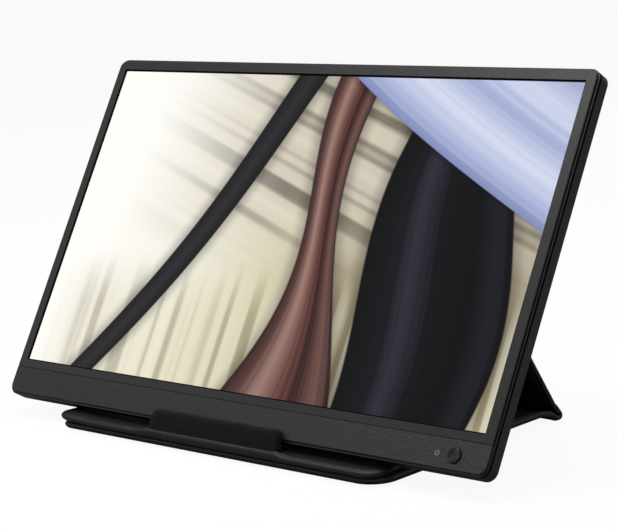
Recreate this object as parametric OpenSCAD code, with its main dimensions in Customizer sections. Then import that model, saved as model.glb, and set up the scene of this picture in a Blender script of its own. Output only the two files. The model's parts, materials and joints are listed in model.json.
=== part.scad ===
// Portable monitor standing on its folding cover, millimetres, +Z up.
// The origin is on the floor, under the middle of the whole object.
// The screen looks towards -Y, and the cover's prop leaf folds down towards +Y.

/* [Screen] */
// Width of the lit picture
screen_w = 344.2; // [300:0.1:380]
// Height of the lit picture
screen_h = 193.6; // [170:0.1:215]
// Depth of the glass below the face of the bezel
glass_sink = 1.2; // [0.8:0.1:1.6]
// How far the screen module reaches past the picture on each side
module_edge = 3.2; // [2.4:0.1:3.4]

/* [Monitor case] */
// Face of the bezel beside the picture
side_border = 7.7; // [7.2:0.1:14]
// Face of the bezel above the picture
top_border = 7.9; // [7.2:0.1:14]
// Face below the picture, chin and strip together
bottom_border = 22.8; // [22:0.1:32]
// Depth of the whole case from front to back
case_d = 11.8; // [11.4:0.1:16]
// Radius of the four corners seen from the front
case_corner = 6; // [4:0.5:12]
// Width of the bevel round the back
back_bevel = 1.6; // [0.8:0.1:2.4]
// Wall of the rear housing
case_wall = 1.5; // [1.2:0.1:1.8]
// Lean of the screen back from upright, degrees
lean = 30; // [22:1:34]

/* [Bezel and chin] */
// Depth of the bezel's stepped face layer
face_layer = 1.4; // [1.2:0.1:1.6]
// Depth of the bezel's outer rim layer behind the face layer
rim_layer = 1.2; // [1:0.1:1.4]
// Width of the bevel round the face
face_bevel = 0.5; // [0.2:0.1:0.8]
// How far the face layer stands in from the rim layer
face_step = 0.9; // [0.5:0.1:1.5]
// Width of the slope round the picture
window_slope = 0.9; // [0.5:0.1:1.4]
// Width of the dark groove between bezel and housing
groove_w = 0.8; // [0.5:0.1:1]
// Depth of that groove
groove_d = 0.7; // [0.4:0.1:0.8]
// Height of the chin plate
chin_h = 17.3; // [16:0.1:20]

/* [Power button] */
// Distance of the button's middle from the right side of the case
button_in = 21.8; // [17:0.1:60]
// Height of the button above the lower edge of the case
button_v = 8.8; // [8:0.1:11.5]
// Diameter of the button
button_dia = 8.4; // [7:0.1:11]
// How far the button stands proud of the chin
button_proud = 0.8; // [0.5:0.1:1.2]
// Travel of the button when it is pressed
button_travel = 0.5; // [0.3:0.05:0.6]
// Gap all round the button
button_gap = 0.2; // [0.15:0.01:0.3]
// Distance between the middles of the button and the power symbol
symbol_away = 10.9; // [8.5:0.1:14]
// Diameter of the light guide behind the chin under the power symbol
symbol_dia = 4; // [3:0.1:5]

/* [Cover leaves] */
// Width of the leaf that the monitor stands on, and of the prop and head leaves
cover_w = 244; // [200:1:260]
// Sideways place of those leaves under the monitor
cover_off = -6; // [-10:1:10]
// Thickness of each leaf
leaf_t = 4.2; // [3.2:0.1:4.5]
// Length of the standing cover from its front edge to the back of its rear fold
cover_l = 173.6; // [160:0.2:185]
// How far the front edge lies ahead of the monitor's lower front edge
ledge = 9.8; // [8:0.1:12]
// Radius of the front corners of the base leaf
leaf_corner = 11; // [6:0.5:16]
// Thickness of the fibre board inside a leaf
board_t = 2; // [1.6:0.1:2.2]
// Thickness of the ribbed lining
lining_t = 0.5; // [0.3:0.1:0.6]
// How far the lining lies below the rim
lining_sink = 0.3; // [0.2:0.1:0.4]
// Width of the rim between the edge of a leaf and its lining
rim_w = 4.5; // [4:0.1:6]

/* [Prop and head] */
// Length of the prop leaf from the rear fold's axis to the head fold's axis
prop_l = 143.4; // [136:0.2:155]
// Length of the head leaf past its fold axis
head_l = 36; // [28:1:45]
// Half width of the soft stretch at each fold of the prop and head
fold_half = 4.2; // [4:0.1:6]
// Radius of the soft roll at the rear fold
rear_roll = 3; // [2.6:0.1:5]
// How far the rear roll reaches past the leaves on each side
roll_flare = 1; // [0:0.5:4]
// Length of the soft stretch from the base leaf down to the rear roll's axis
rear_slope = 13.5; // [10:0.5:20]
// Diameter of the magnets in the head leaf
magnet_dia = 10; // [6:0.5:14]
// Thickness of those magnets
magnet_t = 1.4; // [1:0.1:1.5]
// Distance from the side of the head leaf to the middle of a pair of magnets
magnet_in = 38; // [24:0.5:60]
// Distance between the two magnets of a pair
magnet_apart = 24; // [16:1:30]

/* [Foot leaf] */
// Width of the leaf folded under the base leaf
foot_w = 242; // [200:1:260]
// Sideways place of the foot leaf
foot_off = -3.5; // [-10:0.5:10]
// How far its front edge lies behind the front edge of the base leaf
foot_back = 2.2; // [0:0.1:10]
// Radius of its left front corner
foot_corner_left = 6; // [5:0.5:24]
// Radius of its right front corner
foot_corner_right = 17; // [5:0.5:24]
// Distance of its fold from the rear end of the base leaf
foot_fold_in = 53; // [10:0.5:80]

/* [Stop pad] */
// Length of the soft stop in front of the monitor
pad_l = 97; // [60:1:140]
// Sideways place of the stop
pad_off = -3.5; // [-20:0.5:20]
// Height of the stop above the base leaf
pad_h = 11.2; // [8:0.1:14]
// Thickness of the stop at its top
pad_top = 4.2; // [3.4:0.1:5]
// How far the front of the stop lies behind the front edge of the base leaf
pad_back = 3.2; // [2:0.1:4]
// Height of the leather ridge in front of the stop
ridge_h = 1.8; // [1:0.1:2.4]
// How far the stop's faces swell in the middle
pad_crown = 0.5; // [0.2:0.1:0.8]
// Thickness of the stiff bar inside the stop
bar_t = 2.2; // [1.5:0.1:2.4]
// Height of that bar
bar_h = 4; // [3:0.1:4.4]

/* [Screen module] */
// Thickness of the glass with its polarisers
glass_t = 1.1; // [0.8:0.1:1.3]
// Thickness of the stacked optical films
film_t = 0.4; // [0.2:0.1:0.6]
// Thickness of the light guide
guide_t = 1.6; // [1.2:0.1:1.8]
// Sheet thickness of the metal chassis
chassis_t = 0.5; // [0.3:0.1:0.6]
// Thickness of the strip of lamps under the light guide
led_strip_t = 1.2; // [0.8:0.1:1.6]

/* [Boards and socket] */
// Length of the main board
mainboard_w = 150; // [110:1:160]
// Distance of the main board from the left side of the case
mainboard_in = 12.5; // [8:0.5:20]
// Height of the main board
mainboard_h = 42; // [34:1:60]
// Height of the main board's lower edge above the lower edge of the case
mainboard_v = 32; // [28:1:60]
// Thickness of the circuit boards
pcb_t = 1; // [0.8:0.1:1.2]
// Height of the socket's middle above the lower edge of the case
usb_v = 44; // [40:0.5:60]
// Width of the socket's metal shell
usb_w = 9.2; // [8.8:0.1:10]
// Height of the socket's metal shell
usb_h = 3.2; // [3:0.1:3.4]
// Depth of the socket's mouth
usb_d = 7.4; // [6:0.1:8]

/* [Screws, pads and vents] */
// Distance of the outer screws from the sides of the case
screw_in = 11.5; // [8:0.5:13]
// Distance between the two inner screws
screw_pair = 124; // [60:1:180]
// Height of the screws above the lower edge of the case
screw_v = 9; // [8:0.1:11]
// Radius of the screws
screw_r = 1.1; // [0.9:0.05:1.2]
// Radius of the screw heads
screw_head_r = 2.4; // [2:0.1:2.5]
// Radius of the rubber pads that cover the screws
rubber_pad_r = 4.6; // [3.6:0.1:5.5]
// How far those pads stand proud of the back
rubber_pad_proud = 0.4; // [0.2:0.1:0.5]
// Number of vent slots low on the back
vent_count = 14; // [6:1:20]
// Distance from one vent slot to the next
vent_pitch = 6; // [4:0.5:9]
// Width of a vent slot
vent_w = 2.2; // [1.5:0.1:3]
// Length of a vent slot
vent_l = 9; // [6:0.5:14]
// Height of the vents above the lower edge of the case
vent_v = 26; // [22:0.5:40]

/* [Hidden] */
$fn = 48;
eps = 0.01;
// Gap between soft or moving pieces that lie against each other
rest_gap = 0.3;
// Gap round pieces that are fitted in the case
fit_gap = 0.15;

case_w = screen_w + 2 * side_border;
case_h = screen_h + top_border + bottom_border;
bezel_d = face_layer + rim_layer;
back_z = -case_d;
inner_back_z = back_z + case_wall;
screen_mid_v = bottom_border + screen_h / 2;
module_w = screen_w + 2 * module_edge;
module_h = screen_h + 2 * module_edge;
chin_seam = 0.3;

// Back face of each layer of the screen module, going away from the viewer
glass_back = -glass_sink - glass_t;
film_back = glass_back - film_t;
guide_back = film_back - guide_t;
chassis_back = guide_back - chassis_t;
chassis_wall = 0.4;
film_inset = 0.8;
led_strip_v = bottom_border - module_edge + film_inset;

// Main board behind the module and the socket at its left end
mainboard_x = mainboard_in + mainboard_w / 2 - case_w / 2;
mainboard_front = chassis_back - rest_gap;
mainboard_back = mainboard_front - pcb_t;
// Each chip's x and v from the middle of the board, then its width and height
chips = [[-40, 6, 14, 14], [-12, 4, 10, 10], [22, 8, 18, 12], [50, -6, 12, 8]];
chip_t = 1;
usb_set_in = 0.4;
usb_mouth_x = -case_w / 2 + usb_set_in;
usb_overlap = 6;
usb_l = mainboard_x - mainboard_w / 2 + usb_overlap - usb_mouth_x;
usb_mid = mainboard_back - usb_h / 2;
usb_wall = 0.4;
ribbon_w = 24;
ribbon_t = 0.12;
ribbon_lap = 3;
ribbon_x = mainboard_x + 30;
ribbon_v = bottom_border - module_edge - ribbon_t;

// Screws, their sockets on the bezel and their posts on the housing
screw_outer_x = case_w / 2 - screw_in;
screw_xs = [-screw_outer_x, -screw_pair / 2, screw_pair / 2, screw_outer_x];
screw_socket_l = 2.4;
screw_socket_r = 2.6;
post_r = 3;
post_top = -bezel_d - screw_socket_l - fit_gap;
screw_head_t = 1.1;
rubber_pad_t = 1;
pad_seat = back_z + rubber_pad_t - rubber_pad_proud;
head_seat = pad_seat + screw_head_t;
thread_play = 0.03;

// Snap hooks along the top of the bezel
hook_count = 5;
hook_in = 39.5;
hook_pitch = (case_w - 2 * hook_in) / (hook_count - 1);
hook_w = 9;
hook_t = 0.9;
hook_l = 3;

// Steel plates inside the housing that the head leaf's magnets hold to
catch_w = 46;
catch_h = 26;
catch_t = 0.8;
catch_x = cover_w / 2 - magnet_in;
catch_up = 5;

// Power button, its switch and their small board
button_r = button_dia / 2;
button_x = case_w / 2 - button_in;
button_dish = 0.25;
button_rim = 0.7;
button_flange = 1.1;
button_flange_t = 0.6;
button_stem_l = 1.4;
button_stem_r = 1.6;
button_top_gap = 0.1;
dome_t = 1;
dome_r = 2.2;
flange_front = -bezel_d - fit_gap;
stem_tip = flange_front - button_flange_t - button_stem_l;
dome_front = stem_tip - button_travel - button_top_gap;
dome_back = dome_front - dome_t;
button_board_w = 24;
button_board_h = 9;
button_board_back = dome_back - pcb_t;
symbol_x = button_x - symbol_away;
button_board_x = (button_x + symbol_x) / 2;
board_post_r = 1.5;
board_post_in = 2.5;

// The cover on the floor, front to back
front_y = -cover_l / 2;
roll_y = cover_l / 2 - rear_roll;
roll_z = rear_roll;
base_bottom = leaf_t;
base_top = 2 * leaf_t;
base_l = roll_y - rear_slope - front_y;
foot_fold_y = front_y + base_l - foot_fold_in;
foot_fold_z = leaf_t / 2;
knuckle_r = 1.4;
web_t = 1.2;
skin_t = leaf_t - board_t - lining_t - lining_sink;
crease_rim = 3;
crease_w = cover_w - 2 * leaf_t;
foot_leaf_gap = knuckle_r + 2 * rest_gap;
foot_l = foot_fold_y - foot_leaf_gap - front_y - foot_back;
// The prop's outer face is tangent to the rear roll, so its middle plane misses the axis
prop_shift = rear_roll - leaf_t / 2;
prop_start = rear_roll + rest_gap;
prop_leaf_l = prop_l - prop_start - fold_half;
head_start = knuckle_r + rest_gap;
head_leaf_l = head_l - fold_half;
leaf_corners = [leaf_corner, leaf_corner];
foot_corners = [foot_corner_left, foot_corner_right];
magnet_xs = [for (side = [-1, 1], place = [-1, 1]) side * catch_x + place * magnet_apart / 2];
magnet_y = fold_half + head_leaf_l / 2;
magnet_z = skin_t + board_t - magnet_t;

// The monitor's lower front edge, raised so that its bevelled lower back edge
// rests on the base leaf
edge_y = front_y + ledge;
edge_z = base_top + rest_gap + (case_d - back_bevel) * sin(lean);
up_y = sin(lean);
up_z = cos(lean);
out_y = cos(lean);
out_z = -sin(lean);

// The head leaf's middle plane lies on the monitor's back. The head fold's axis is
// where that plane is as far from the rear fold's axis as the prop leaf reaches.
head_mid = case_d + rest_gap + leaf_t / 2;
foot_of_plane_y = edge_y + head_mid * out_y - roll_y;
foot_of_plane_z = edge_z + head_mid * out_z - roll_z;
half_b = foot_of_plane_y * up_y + foot_of_plane_z * up_z;
prop_reach = norm([prop_l, prop_shift]);
rest_c = pow(norm([foot_of_plane_y, foot_of_plane_z]), 2) - pow(prop_reach, 2);
head_up = -half_b + sqrt(half_b * half_b - rest_c);
head_y = roll_y + foot_of_plane_y + head_up * up_y;
head_z = roll_z + foot_of_plane_z + head_up * up_z;
prop_angle = atan2(head_z - roll_z, roll_y - head_y) - atan2(prop_shift, prop_l);

// Corners of the stop's section, as [y from the monitor's lower front edge, height
// above the base leaf]. Its back follows the leaning screen.
pad_clear = 1;
pad_drop = 0.6;
// The ridge lies between the round edge of the base leaf and the stop
ridge_front = leaf_t / 4;
ridge_root = leaf_t / 4;
ridge_w = pad_back - ridge_front;
pad_under = edge_z - base_top;
pad_front_y = front_y + pad_back - edge_y;
pad_lean_y = (pad_h - pad_under) * tan(lean) - pad_clear;
pad_corners = [[pad_front_y, 0], [-pad_clear, 0], [-pad_clear, pad_under],
               [pad_lean_y, pad_h - pad_drop], [pad_lean_y - pad_top, pad_h]];
pad_end = 5;
pad_end_size = 0.55;
bar_l = pad_l - 3 * pad_end;
bar_cover = 0.8;
bar_y = -pad_clear - bar_cover - bar_t;

// Shared outlines and solids

// A rectangle with round corners, centred
module round_outline(w, l, r) {
  square([w - 2 * r, l], center = true);
  square([w, l - 2 * r], center = true);
  for (sx = [-1, 1], sy = [-1, 1])
    translate([sx * (w / 2 - r), sy * (l / 2 - r)]) circle(r);
}

// A flat plate with round corners, its lower face on z = 0
module round_plate(w, l, t, r) {
  linear_extrude(t) round_outline(w, l, r);
}

// The same plate with its upper edge bevelled all round
module bevelled_plate(w, l, t, r, bevel) {
  for (turn = [0, 90]) {
    long = turn == 0 ? w : l;
    short = turn == 0 ? l : w;
    rotate([0, 0, turn]) rotate([90, 0, 90]) translate([0, 0, -(long - 2 * r) / 2])
      linear_extrude(long - 2 * r)
        polygon([[-short / 2, 0], [short / 2, 0], [short / 2, t - bevel],
                 [short / 2 - bevel, t], [bevel - short / 2, t], [-short / 2, t - bevel]]);
  }
  for (sx = [-1, 1], sy = [-1, 1])
    translate([sx * (w / 2 - r), sy * (l / 2 - r), 0]) {
      cylinder(h = t - bevel, r = r);
      translate([0, 0, t - bevel]) cylinder(h = bevel, r1 = r, r2 = r - bevel);
    }
}

// A slab whose edge is a full half round, with round corners, lower face on z = 0
module half_round_slab(w, l, t, r) {
  module section(width) {
    square([width - t, t], center = true);
    for (s = [-1, 1]) translate([s * (width - t) / 2, 0]) circle(t / 2);
  }
  translate([0, 0, t / 2]) {
    for (turn = [0, 90]) {
      long = turn == 0 ? w : l;
      short = turn == 0 ? l : w;
      rotate([0, 0, turn]) rotate([90, 0, 90]) translate([0, 0, -(long - 2 * r) / 2])
        linear_extrude(long - 2 * r) section(short);
    }
    for (sx = [-1, 1], sy = [-1, 1])
      translate([sx * (w / 2 - r), sy * (l / 2 - r), 0])
        rotate_extrude() {
          translate([0, -t / 2]) square([r - t / 2, t]);
          translate([r - t / 2, 0]) intersection() {
            circle(t / 2);
            translate([0, -t / 2]) square([t / 2, t]);
          }
        }
  }
}

// Places what follows in the monitor's own frame: x to the right, y up along the
// screen from the lower edge, z out of the face towards the viewer
module on_monitor() {
  translate([0, edge_y, edge_z]) rotate([90 - lean, 0, 0]) children();
}

// A plate in the monitor's frame, centred on x, between two depths
module case_layer(w, v0, v1, front, back, r) {
  translate([0, (v0 + v1) / 2, back]) round_plate(w, v1 - v0, front - back, r);
}

// Monitor

module front_bezel() {
  color("#2b2b2d") on_monitor() difference() {
    union() {
      case_layer(case_w, 0, case_h, -face_layer, -bezel_d, case_corner);
      translate([0, 0, -eps]) face_plate();
      screw_sockets();
      top_hooks();
    }
    picture_window();
    // Room for the screen module behind the face
    case_layer(module_w + 2 * fit_gap, screen_mid_v - module_h / 2 - fit_gap,
               screen_mid_v + module_h / 2 + fit_gap, -glass_sink, -bezel_d - 1, 1);
    // Room for the chin plate
    translate([-case_w / 2 - 1, -1, -face_layer]) cube([case_w + 2, chin_h + 1, face_layer + 1]);
    translate([button_x, button_v, -bezel_d - 1]) cylinder(h = bezel_d + 2, r = button_r + button_gap);
    translate([symbol_x, button_v, -bezel_d - 1]) cylinder(h = bezel_d, d = symbol_dia);
  }
}

// The raised face of the case, stepped in from its rim and bevelled round its edge
module face_plate() {
  translate([0, case_h / 2, -face_layer])
    bevelled_plate(case_w - 2 * face_step, case_h - 2 * face_step, face_layer,
                   case_corner - face_step, face_bevel);
}

// The window over the picture, sloped outwards
module picture_window() {
  slope_w = screen_w + 2 * window_slope;
  slope_h = screen_h + 2 * window_slope;
  translate([-screen_w / 2, bottom_border, -bezel_d - 1]) cube([screen_w, screen_h, bezel_d + 2]);
  for (turn = [0, 90]) {
    long = turn == 0 ? slope_w : slope_h;
    short = turn == 0 ? screen_h : screen_w;
    translate([0, screen_mid_v, 0]) rotate([0, 0, turn]) rotate([90, 0, 90])
      translate([0, 0, -long / 2]) linear_extrude(long)
        polygon([[-short / 2, -window_slope], [short / 2, -window_slope],
                 [short / 2 + window_slope, 0], [short / 2 + window_slope, 1],
                 [-short / 2 - window_slope, 1], [-short / 2 - window_slope, 0]]);
  }
}

// Posts on the back of the bezel that the housing screws bite into
module screw_sockets() {
  for (x = screw_xs)
    translate([x, screw_v, -bezel_d - screw_socket_l]) difference() {
      cylinder(h = screw_socket_l + eps, r = screw_socket_r);
      translate([0, 0, -1]) cylinder(h = screw_socket_l + 1, r = screw_r);
    }
}

// Snap hooks along the top of the bezel
module top_hooks() {
  for (i = [0 : hook_count - 1])
    translate([hook_in - case_w / 2 + i * hook_pitch - hook_w / 2,
               case_h - case_wall - fit_gap - hook_t, -bezel_d - hook_l])
      cube([hook_w, hook_t, hook_l + eps]);
}

module chin_plate() {
  color("#343436") on_monitor() difference() {
    intersection() {
      face_plate();
      translate([-case_w / 2, 0, -face_layer]) cube([case_w, chin_h - chin_seam, face_layer]);
    }
    translate([button_x, button_v, -bezel_d]) cylinder(h = bezel_d + 1, r = button_r + button_gap);
  }
}

module rear_housing() {
  color("#2f2f31") on_monitor() difference() {
    union() {
      translate([0, case_h / 2, -bezel_d - groove_w]) rotate([180, 0, 0])
        bevelled_plate(case_w, case_h, case_d - bezel_d - groove_w, case_corner, back_bevel);
      case_layer(case_w - 2 * groove_d, groove_d, case_h - groove_d, -bezel_d,
                 -bezel_d - groove_w - eps, case_corner - groove_d);
    }
    difference() {
      case_layer(case_w - 2 * case_wall, case_wall, case_h - case_wall, 1, inner_back_z,
                 case_corner - case_wall);
      for (x = screw_xs) housing_post(x, screw_v, post_r, post_top);
      for (side = [-1, 1])
        housing_post(button_board_x + side * (button_board_w / 2 - board_post_in), button_v,
                     board_post_r, button_board_back);
    }
    for (x = screw_xs) translate([x, screw_v, back_z - 1]) {
      cylinder(h = case_d, r = screw_r + fit_gap);
      cylinder(h = 1 + head_seat - back_z, r = screw_head_r + fit_gap);
      cylinder(h = 1 + pad_seat - back_z, r = rubber_pad_r + fit_gap);
    }
    vents();
    translate([-case_w / 2 - 1, usb_v, usb_mid]) rotate([0, 90, 0])
      linear_extrude(case_wall + 2) socket_outline(fit_gap);
  }
}

// A round post on the inside of the housing's back, up to the given depth
module housing_post(x, v, r, top) {
  translate([x, v, inner_back_z - eps]) cylinder(h = top - inner_back_z + eps, r = r);
}

// Outline of the socket's shell with round ends, grown by a margin
module socket_outline(grow) {
  r = usb_h / 2 + grow;
  square([2 * r, usb_w - usb_h], center = true);
  for (side = [-1, 1]) translate([0, side * (usb_w - usb_h) / 2]) circle(r);
}

// A row of slots low on the back
module vents() {
  for (i = [0 : vent_count - 1])
    translate([(i - (vent_count - 1) / 2) * vent_pitch, vent_v, back_z - 1]) {
      translate([-vent_w / 2, 0, 0]) cube([vent_w, vent_l - vent_w, case_wall + 2]);
      for (v = [0, vent_l - vent_w]) translate([0, v, 0]) cylinder(h = case_wall + 2, d = vent_w);
    }
}

// A layer of the screen module, by how far it reaches past the picture
module module_layer(edge, front, back) {
  translate([-screen_w / 2 - edge, bottom_border - edge, back])
    cube([screen_w + 2 * edge, screen_h + 2 * edge, front - back]);
}

module lcd_glass() {
  color("#101216") on_monitor() module_layer(module_edge - chassis_wall, -glass_sink, glass_back);
}

module optical_films() {
  color("#f2f2ee") on_monitor() module_layer(module_edge - film_inset, glass_back, film_back);
}

module light_guide() {
  color("#e6eef2") on_monitor() difference() {
    module_layer(module_edge - film_inset, film_back, guide_back);
    // Room for the light strip along the lower edge
    translate([-case_w / 2, 0, guide_back - 1])
      cube([case_w, led_strip_v + led_strip_t, guide_t + 1]);
  }
}

module led_strip() {
  color("#f4e9b0") on_monitor() translate([-screen_w / 2, led_strip_v, guide_back])
    cube([screen_w, led_strip_t, guide_t]);
}

module screen_chassis() {
  color("#9aa0a4") on_monitor() difference() {
    module_layer(module_edge, -glass_sink, chassis_back);
    module_layer(module_edge - chassis_wall, 1, guide_back);
  }
}

module main_board() {
  color("#1f5a3a") on_monitor() translate([mainboard_x, mainboard_v, mainboard_back]) {
    translate([-mainboard_w / 2, 0, 0]) cube([mainboard_w, mainboard_h, pcb_t]);
    for (c = chips)
      translate([c[0] - c[2] / 2, mainboard_h / 2 + c[1] - c[3] / 2, -chip_t])
        cube([c[2], c[3], chip_t + eps]);
  }
}

module usb_socket() {
  color("#b8bcc0") on_monitor() translate([usb_mouth_x, usb_v, usb_mid]) rotate([0, 90, 0])
    difference() {
      linear_extrude(usb_l) socket_outline(0);
      translate([0, 0, -1]) linear_extrude(usb_d + 1) socket_outline(-usb_wall);
    }
}

module display_ribbon() {
  color("#c98a2b") on_monitor() translate([ribbon_x - ribbon_w / 2, ribbon_v, chassis_back - ribbon_t]) {
    // Flat stretch behind the chassis, up to the board
    cube([ribbon_w, mainboard_v - ribbon_v + ribbon_lap, ribbon_t]);
    // Edge turned round the chassis's lower side, up to the glass
    cube([ribbon_w, ribbon_t, glass_back + glass_t / 2 - chassis_back + ribbon_t]);
  }
}

module button_board() {
  color("#1f5a3a") on_monitor()
    translate([button_board_x - button_board_w / 2, button_v - button_board_h / 2, button_board_back])
      cube([button_board_w, button_board_h, pcb_t]);
}

module dome_switch() {
  color("#c4c8cc") on_monitor() translate([button_x, button_v, dome_back])
    cylinder(h = dome_t, r = dome_r);
}

module power_symbol_lens() {
  color("#dfe3e6") on_monitor() translate([symbol_x, button_v, dome_back])
    cylinder(h = -face_layer - dome_back, r = symbol_dia / 2 - fit_gap);
}

module housing_screws() {
  color("#55585c") on_monitor() for (x = screw_xs) translate([x, screw_v, pad_seat]) {
    cylinder(h = screw_head_t, r = screw_head_r);
    cylinder(h = -bezel_d - fit_gap - pad_seat, r = screw_r - thread_play);
  }
}

module rubber_pads() {
  edge = 0.3;
  color("#1a1a1b") on_monitor() for (x = screw_xs)
    translate([x, screw_v, back_z - rubber_pad_proud]) {
      cylinder(h = edge, r1 = rubber_pad_r - edge, r2 = rubber_pad_r);
      translate([0, 0, edge]) cylinder(h = rubber_pad_t - edge, r = rubber_pad_r);
    }
}

module catch_plates() {
  color("#8d9296") on_monitor() for (side = [-1, 1])
    translate([cover_off + side * catch_x - catch_w / 2, head_up + catch_up, inner_back_z])
      cube([catch_w, catch_h, catch_t]);
}

module power_button() {
  color("#6a6c70") on_monitor() translate([button_x, button_v, 0]) rotate_extrude()
    polygon([[0, button_proud - button_dish], [button_r - button_rim, button_proud],
             [button_r - button_dish, button_proud], [button_r, button_proud - button_dish],
             [button_r, flange_front], [button_r + button_flange, flange_front],
             [button_r + button_flange, flange_front - button_flange_t],
             [button_stem_r, flange_front - button_flange_t], [button_stem_r, stem_tip],
             [0, stem_tip]]);
}

// Cover

// The outer form of a leaf: x centred, y from 0 to l, lined face up. A free end has
// round corners and a half round edge, the other kind is cut square at a fold.
// corners are the radii at the left and at the right.
module leaf_form(w, l, corners, free_start, free_end) {
  for (side = [0, 1]) {
    y0 = free_start ? 0 : -corners[side] - 1;
    y1 = free_end ? l : l + corners[side] + 1;
    intersection() {
      translate([0, (y0 + y1) / 2, 0]) half_round_slab(w, y1 - y0, leaf_t, corners[side]);
      translate([(side - 1) * w, 0, -1]) cube([w, l, leaf_t + 2]);
    }
  }
}

// The field inside a leaf's rim that holds board and lining, between two heights
module leaf_field(w, l, corners, free_start, free_end, low, high) {
  y0 = free_start ? rim_w : crease_rim;
  y1 = free_end ? l - rim_w : l - crease_rim;
  for (side = [0, 1]) intersection() {
    translate([0, (y0 + y1) / 2, low])
      round_plate(w - 2 * rim_w, y1 - y0, high - low, corners[side] - rim_w);
    translate([(side - 1) * w, 0, low - 1]) cube([w, l, high - low + 2]);
  }
}

module leaf_skin(w, l, corners, free_start, free_end) {
  difference() {
    leaf_form(w, l, corners, free_start, free_end);
    leaf_field(w, l, corners, free_start, free_end, skin_t, leaf_t + 1);
  }
}

module leaf_board(w, l, corners, free_start, free_end) {
  leaf_field(w, l, corners, free_start, free_end, skin_t, skin_t + board_t);
}

module leaf_lining(w, l, corners, free_start, free_end) {
  leaf_field(w, l, corners, free_start, free_end, skin_t + board_t, skin_t + board_t + lining_t);
}

// Places of the four leaves. Each one's own y runs along the leaf.
module on_base() {
  translate([cover_off, front_y, base_bottom]) children();
}

module on_foot() {
  translate([foot_off, front_y + foot_back, 0]) children();
}

// Along the prop from the rear fold's axis, lined face towards the monitor
module on_prop() {
  translate([cover_off, roll_y, roll_z]) rotate([180 - prop_angle, 0, 0])
    translate([0, 0, -prop_shift - leaf_t / 2]) children();
}

// Up the monitor's back from the head fold's axis, lined face towards the monitor
module on_head() {
  translate([cover_off, head_y, head_z]) rotate([90 - lean, 0, 0]) translate([0, 0, -leaf_t / 2])
    children();
}

module base_skin() {
  color("#1c1c1e") {
    on_base() leaf_skin(cover_w, base_l, leaf_corners, true, false);
    stop_ridge();
  }
}

// The rim of the base leaf stands higher in front of the stop and runs out beside it
module stop_ridge() {
  half = pad_l / 2;
  translate([pad_off, front_y + ridge_front, base_top - ridge_root]) rotate([90, 0, 90])
    translate([0, 0, -half]) linear_extrude(pad_l)
      polygon([[0, 0], [ridge_w, 0], [ridge_w, ridge_root], [ridge_w - ridge_h / 2, ridge_root + ridge_h],
               [ridge_h / 2, ridge_root + ridge_h], [0, ridge_root + ridge_h / 3]]);
}

module base_board() {
  color("#6e675c") on_base() leaf_board(cover_w, base_l, leaf_corners, true, false);
}

module base_lining() {
  color("#262628") on_base() leaf_lining(cover_w, base_l, leaf_corners, true, false);
}

module foot_skin() {
  color("#1a1a1c") on_foot() leaf_skin(foot_w, foot_l, foot_corners, true, false);
}

module foot_board() {
  color("#6e675c") on_foot() leaf_board(foot_w, foot_l, foot_corners, true, false);
}

module foot_lining() {
  color("#262628") on_foot() leaf_lining(foot_w, foot_l, foot_corners, true, false);
}

// The stitched fold that carries the foot leaf under the base leaf
module foot_crease() {
  color("#141416") translate([cover_off - crease_w / 2, foot_fold_y, foot_fold_z]) {
    rotate([0, 90, 0]) cylinder(h = crease_w, r = knuckle_r);
    translate([0, -web_t / 2, 0]) cube([crease_w, web_t, base_bottom - foot_fold_z]);
  }
}

// The soft roll at the rear, with the stretch that slopes down to it from the base leaf
module rear_fold_roll() {
  roll_w = cover_w + 2 * roll_flare - 2 * rear_roll;
  slope_w = cover_w - leaf_t;
  low = base_bottom - roll_z;
  color("#18181a") translate([cover_off, roll_y, roll_z]) {
    translate([-roll_w / 2, 0, 0]) rotate([0, 90, 0]) cylinder(h = roll_w, r = rear_roll);
    for (s = [-1, 1]) translate([s * roll_w / 2, 0, 0]) sphere(rear_roll);
    rotate([90, 0, 90]) translate([0, 0, -slope_w / 2]) linear_extrude(slope_w)
      polygon([[-rear_slope, low], [0, -rear_roll], [0, 0], [-rear_roll / 2, rear_roll / 3],
               [-rear_slope, low + leaf_t]]);
  }
}

module prop_skin() {
  color("#1c1c1e") on_prop() translate([0, prop_start, 0])
    leaf_skin(cover_w, prop_leaf_l, leaf_corners, false, false);
}

module prop_board() {
  color("#6e675c") on_prop() translate([0, prop_start, 0])
    leaf_board(cover_w, prop_leaf_l, leaf_corners, false, false);
}

module prop_lining() {
  color("#262628") on_prop() translate([0, prop_start, 0])
    leaf_lining(cover_w, prop_leaf_l, leaf_corners, false, false);
}

// The prop's half of the head fold: a round edge on the axis and a web to the leaf
module head_crease() {
  color("#141416") on_prop() translate([-crease_w / 2, prop_l, leaf_t / 2]) {
    rotate([0, 90, 0]) cylinder(h = crease_w, r = knuckle_r);
    translate([0, -fold_half, -web_t / 2]) cube([crease_w, fold_half, web_t]);
  }
}

module head_skin() {
  color("#1c1c1e") on_head() difference() {
    union() {
      translate([0, fold_half, 0]) leaf_form(cover_w, head_leaf_l, leaf_corners, false, true);
      // The head's half of the fold
      translate([-crease_w / 2, head_start, (leaf_t - web_t) / 2])
        cube([crease_w, fold_half - head_start + eps, web_t]);
    }
    translate([0, fold_half, 0])
      leaf_field(cover_w, head_leaf_l, leaf_corners, false, true, skin_t, leaf_t + 1);
  }
}

module head_board() {
  color("#6e675c") on_head() difference() {
    translate([0, fold_half, 0]) leaf_board(cover_w, head_leaf_l, leaf_corners, false, true);
    for (x = magnet_xs) translate([x, magnet_y, magnet_z])
      cylinder(h = magnet_t + 1, d = magnet_dia + 2 * fit_gap);
  }
}

module head_magnets() {
  color("#b5b9bd") on_head() for (x = magnet_xs) translate([x, magnet_y, magnet_z])
    cylinder(h = magnet_t, d = magnet_dia);
}

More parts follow.
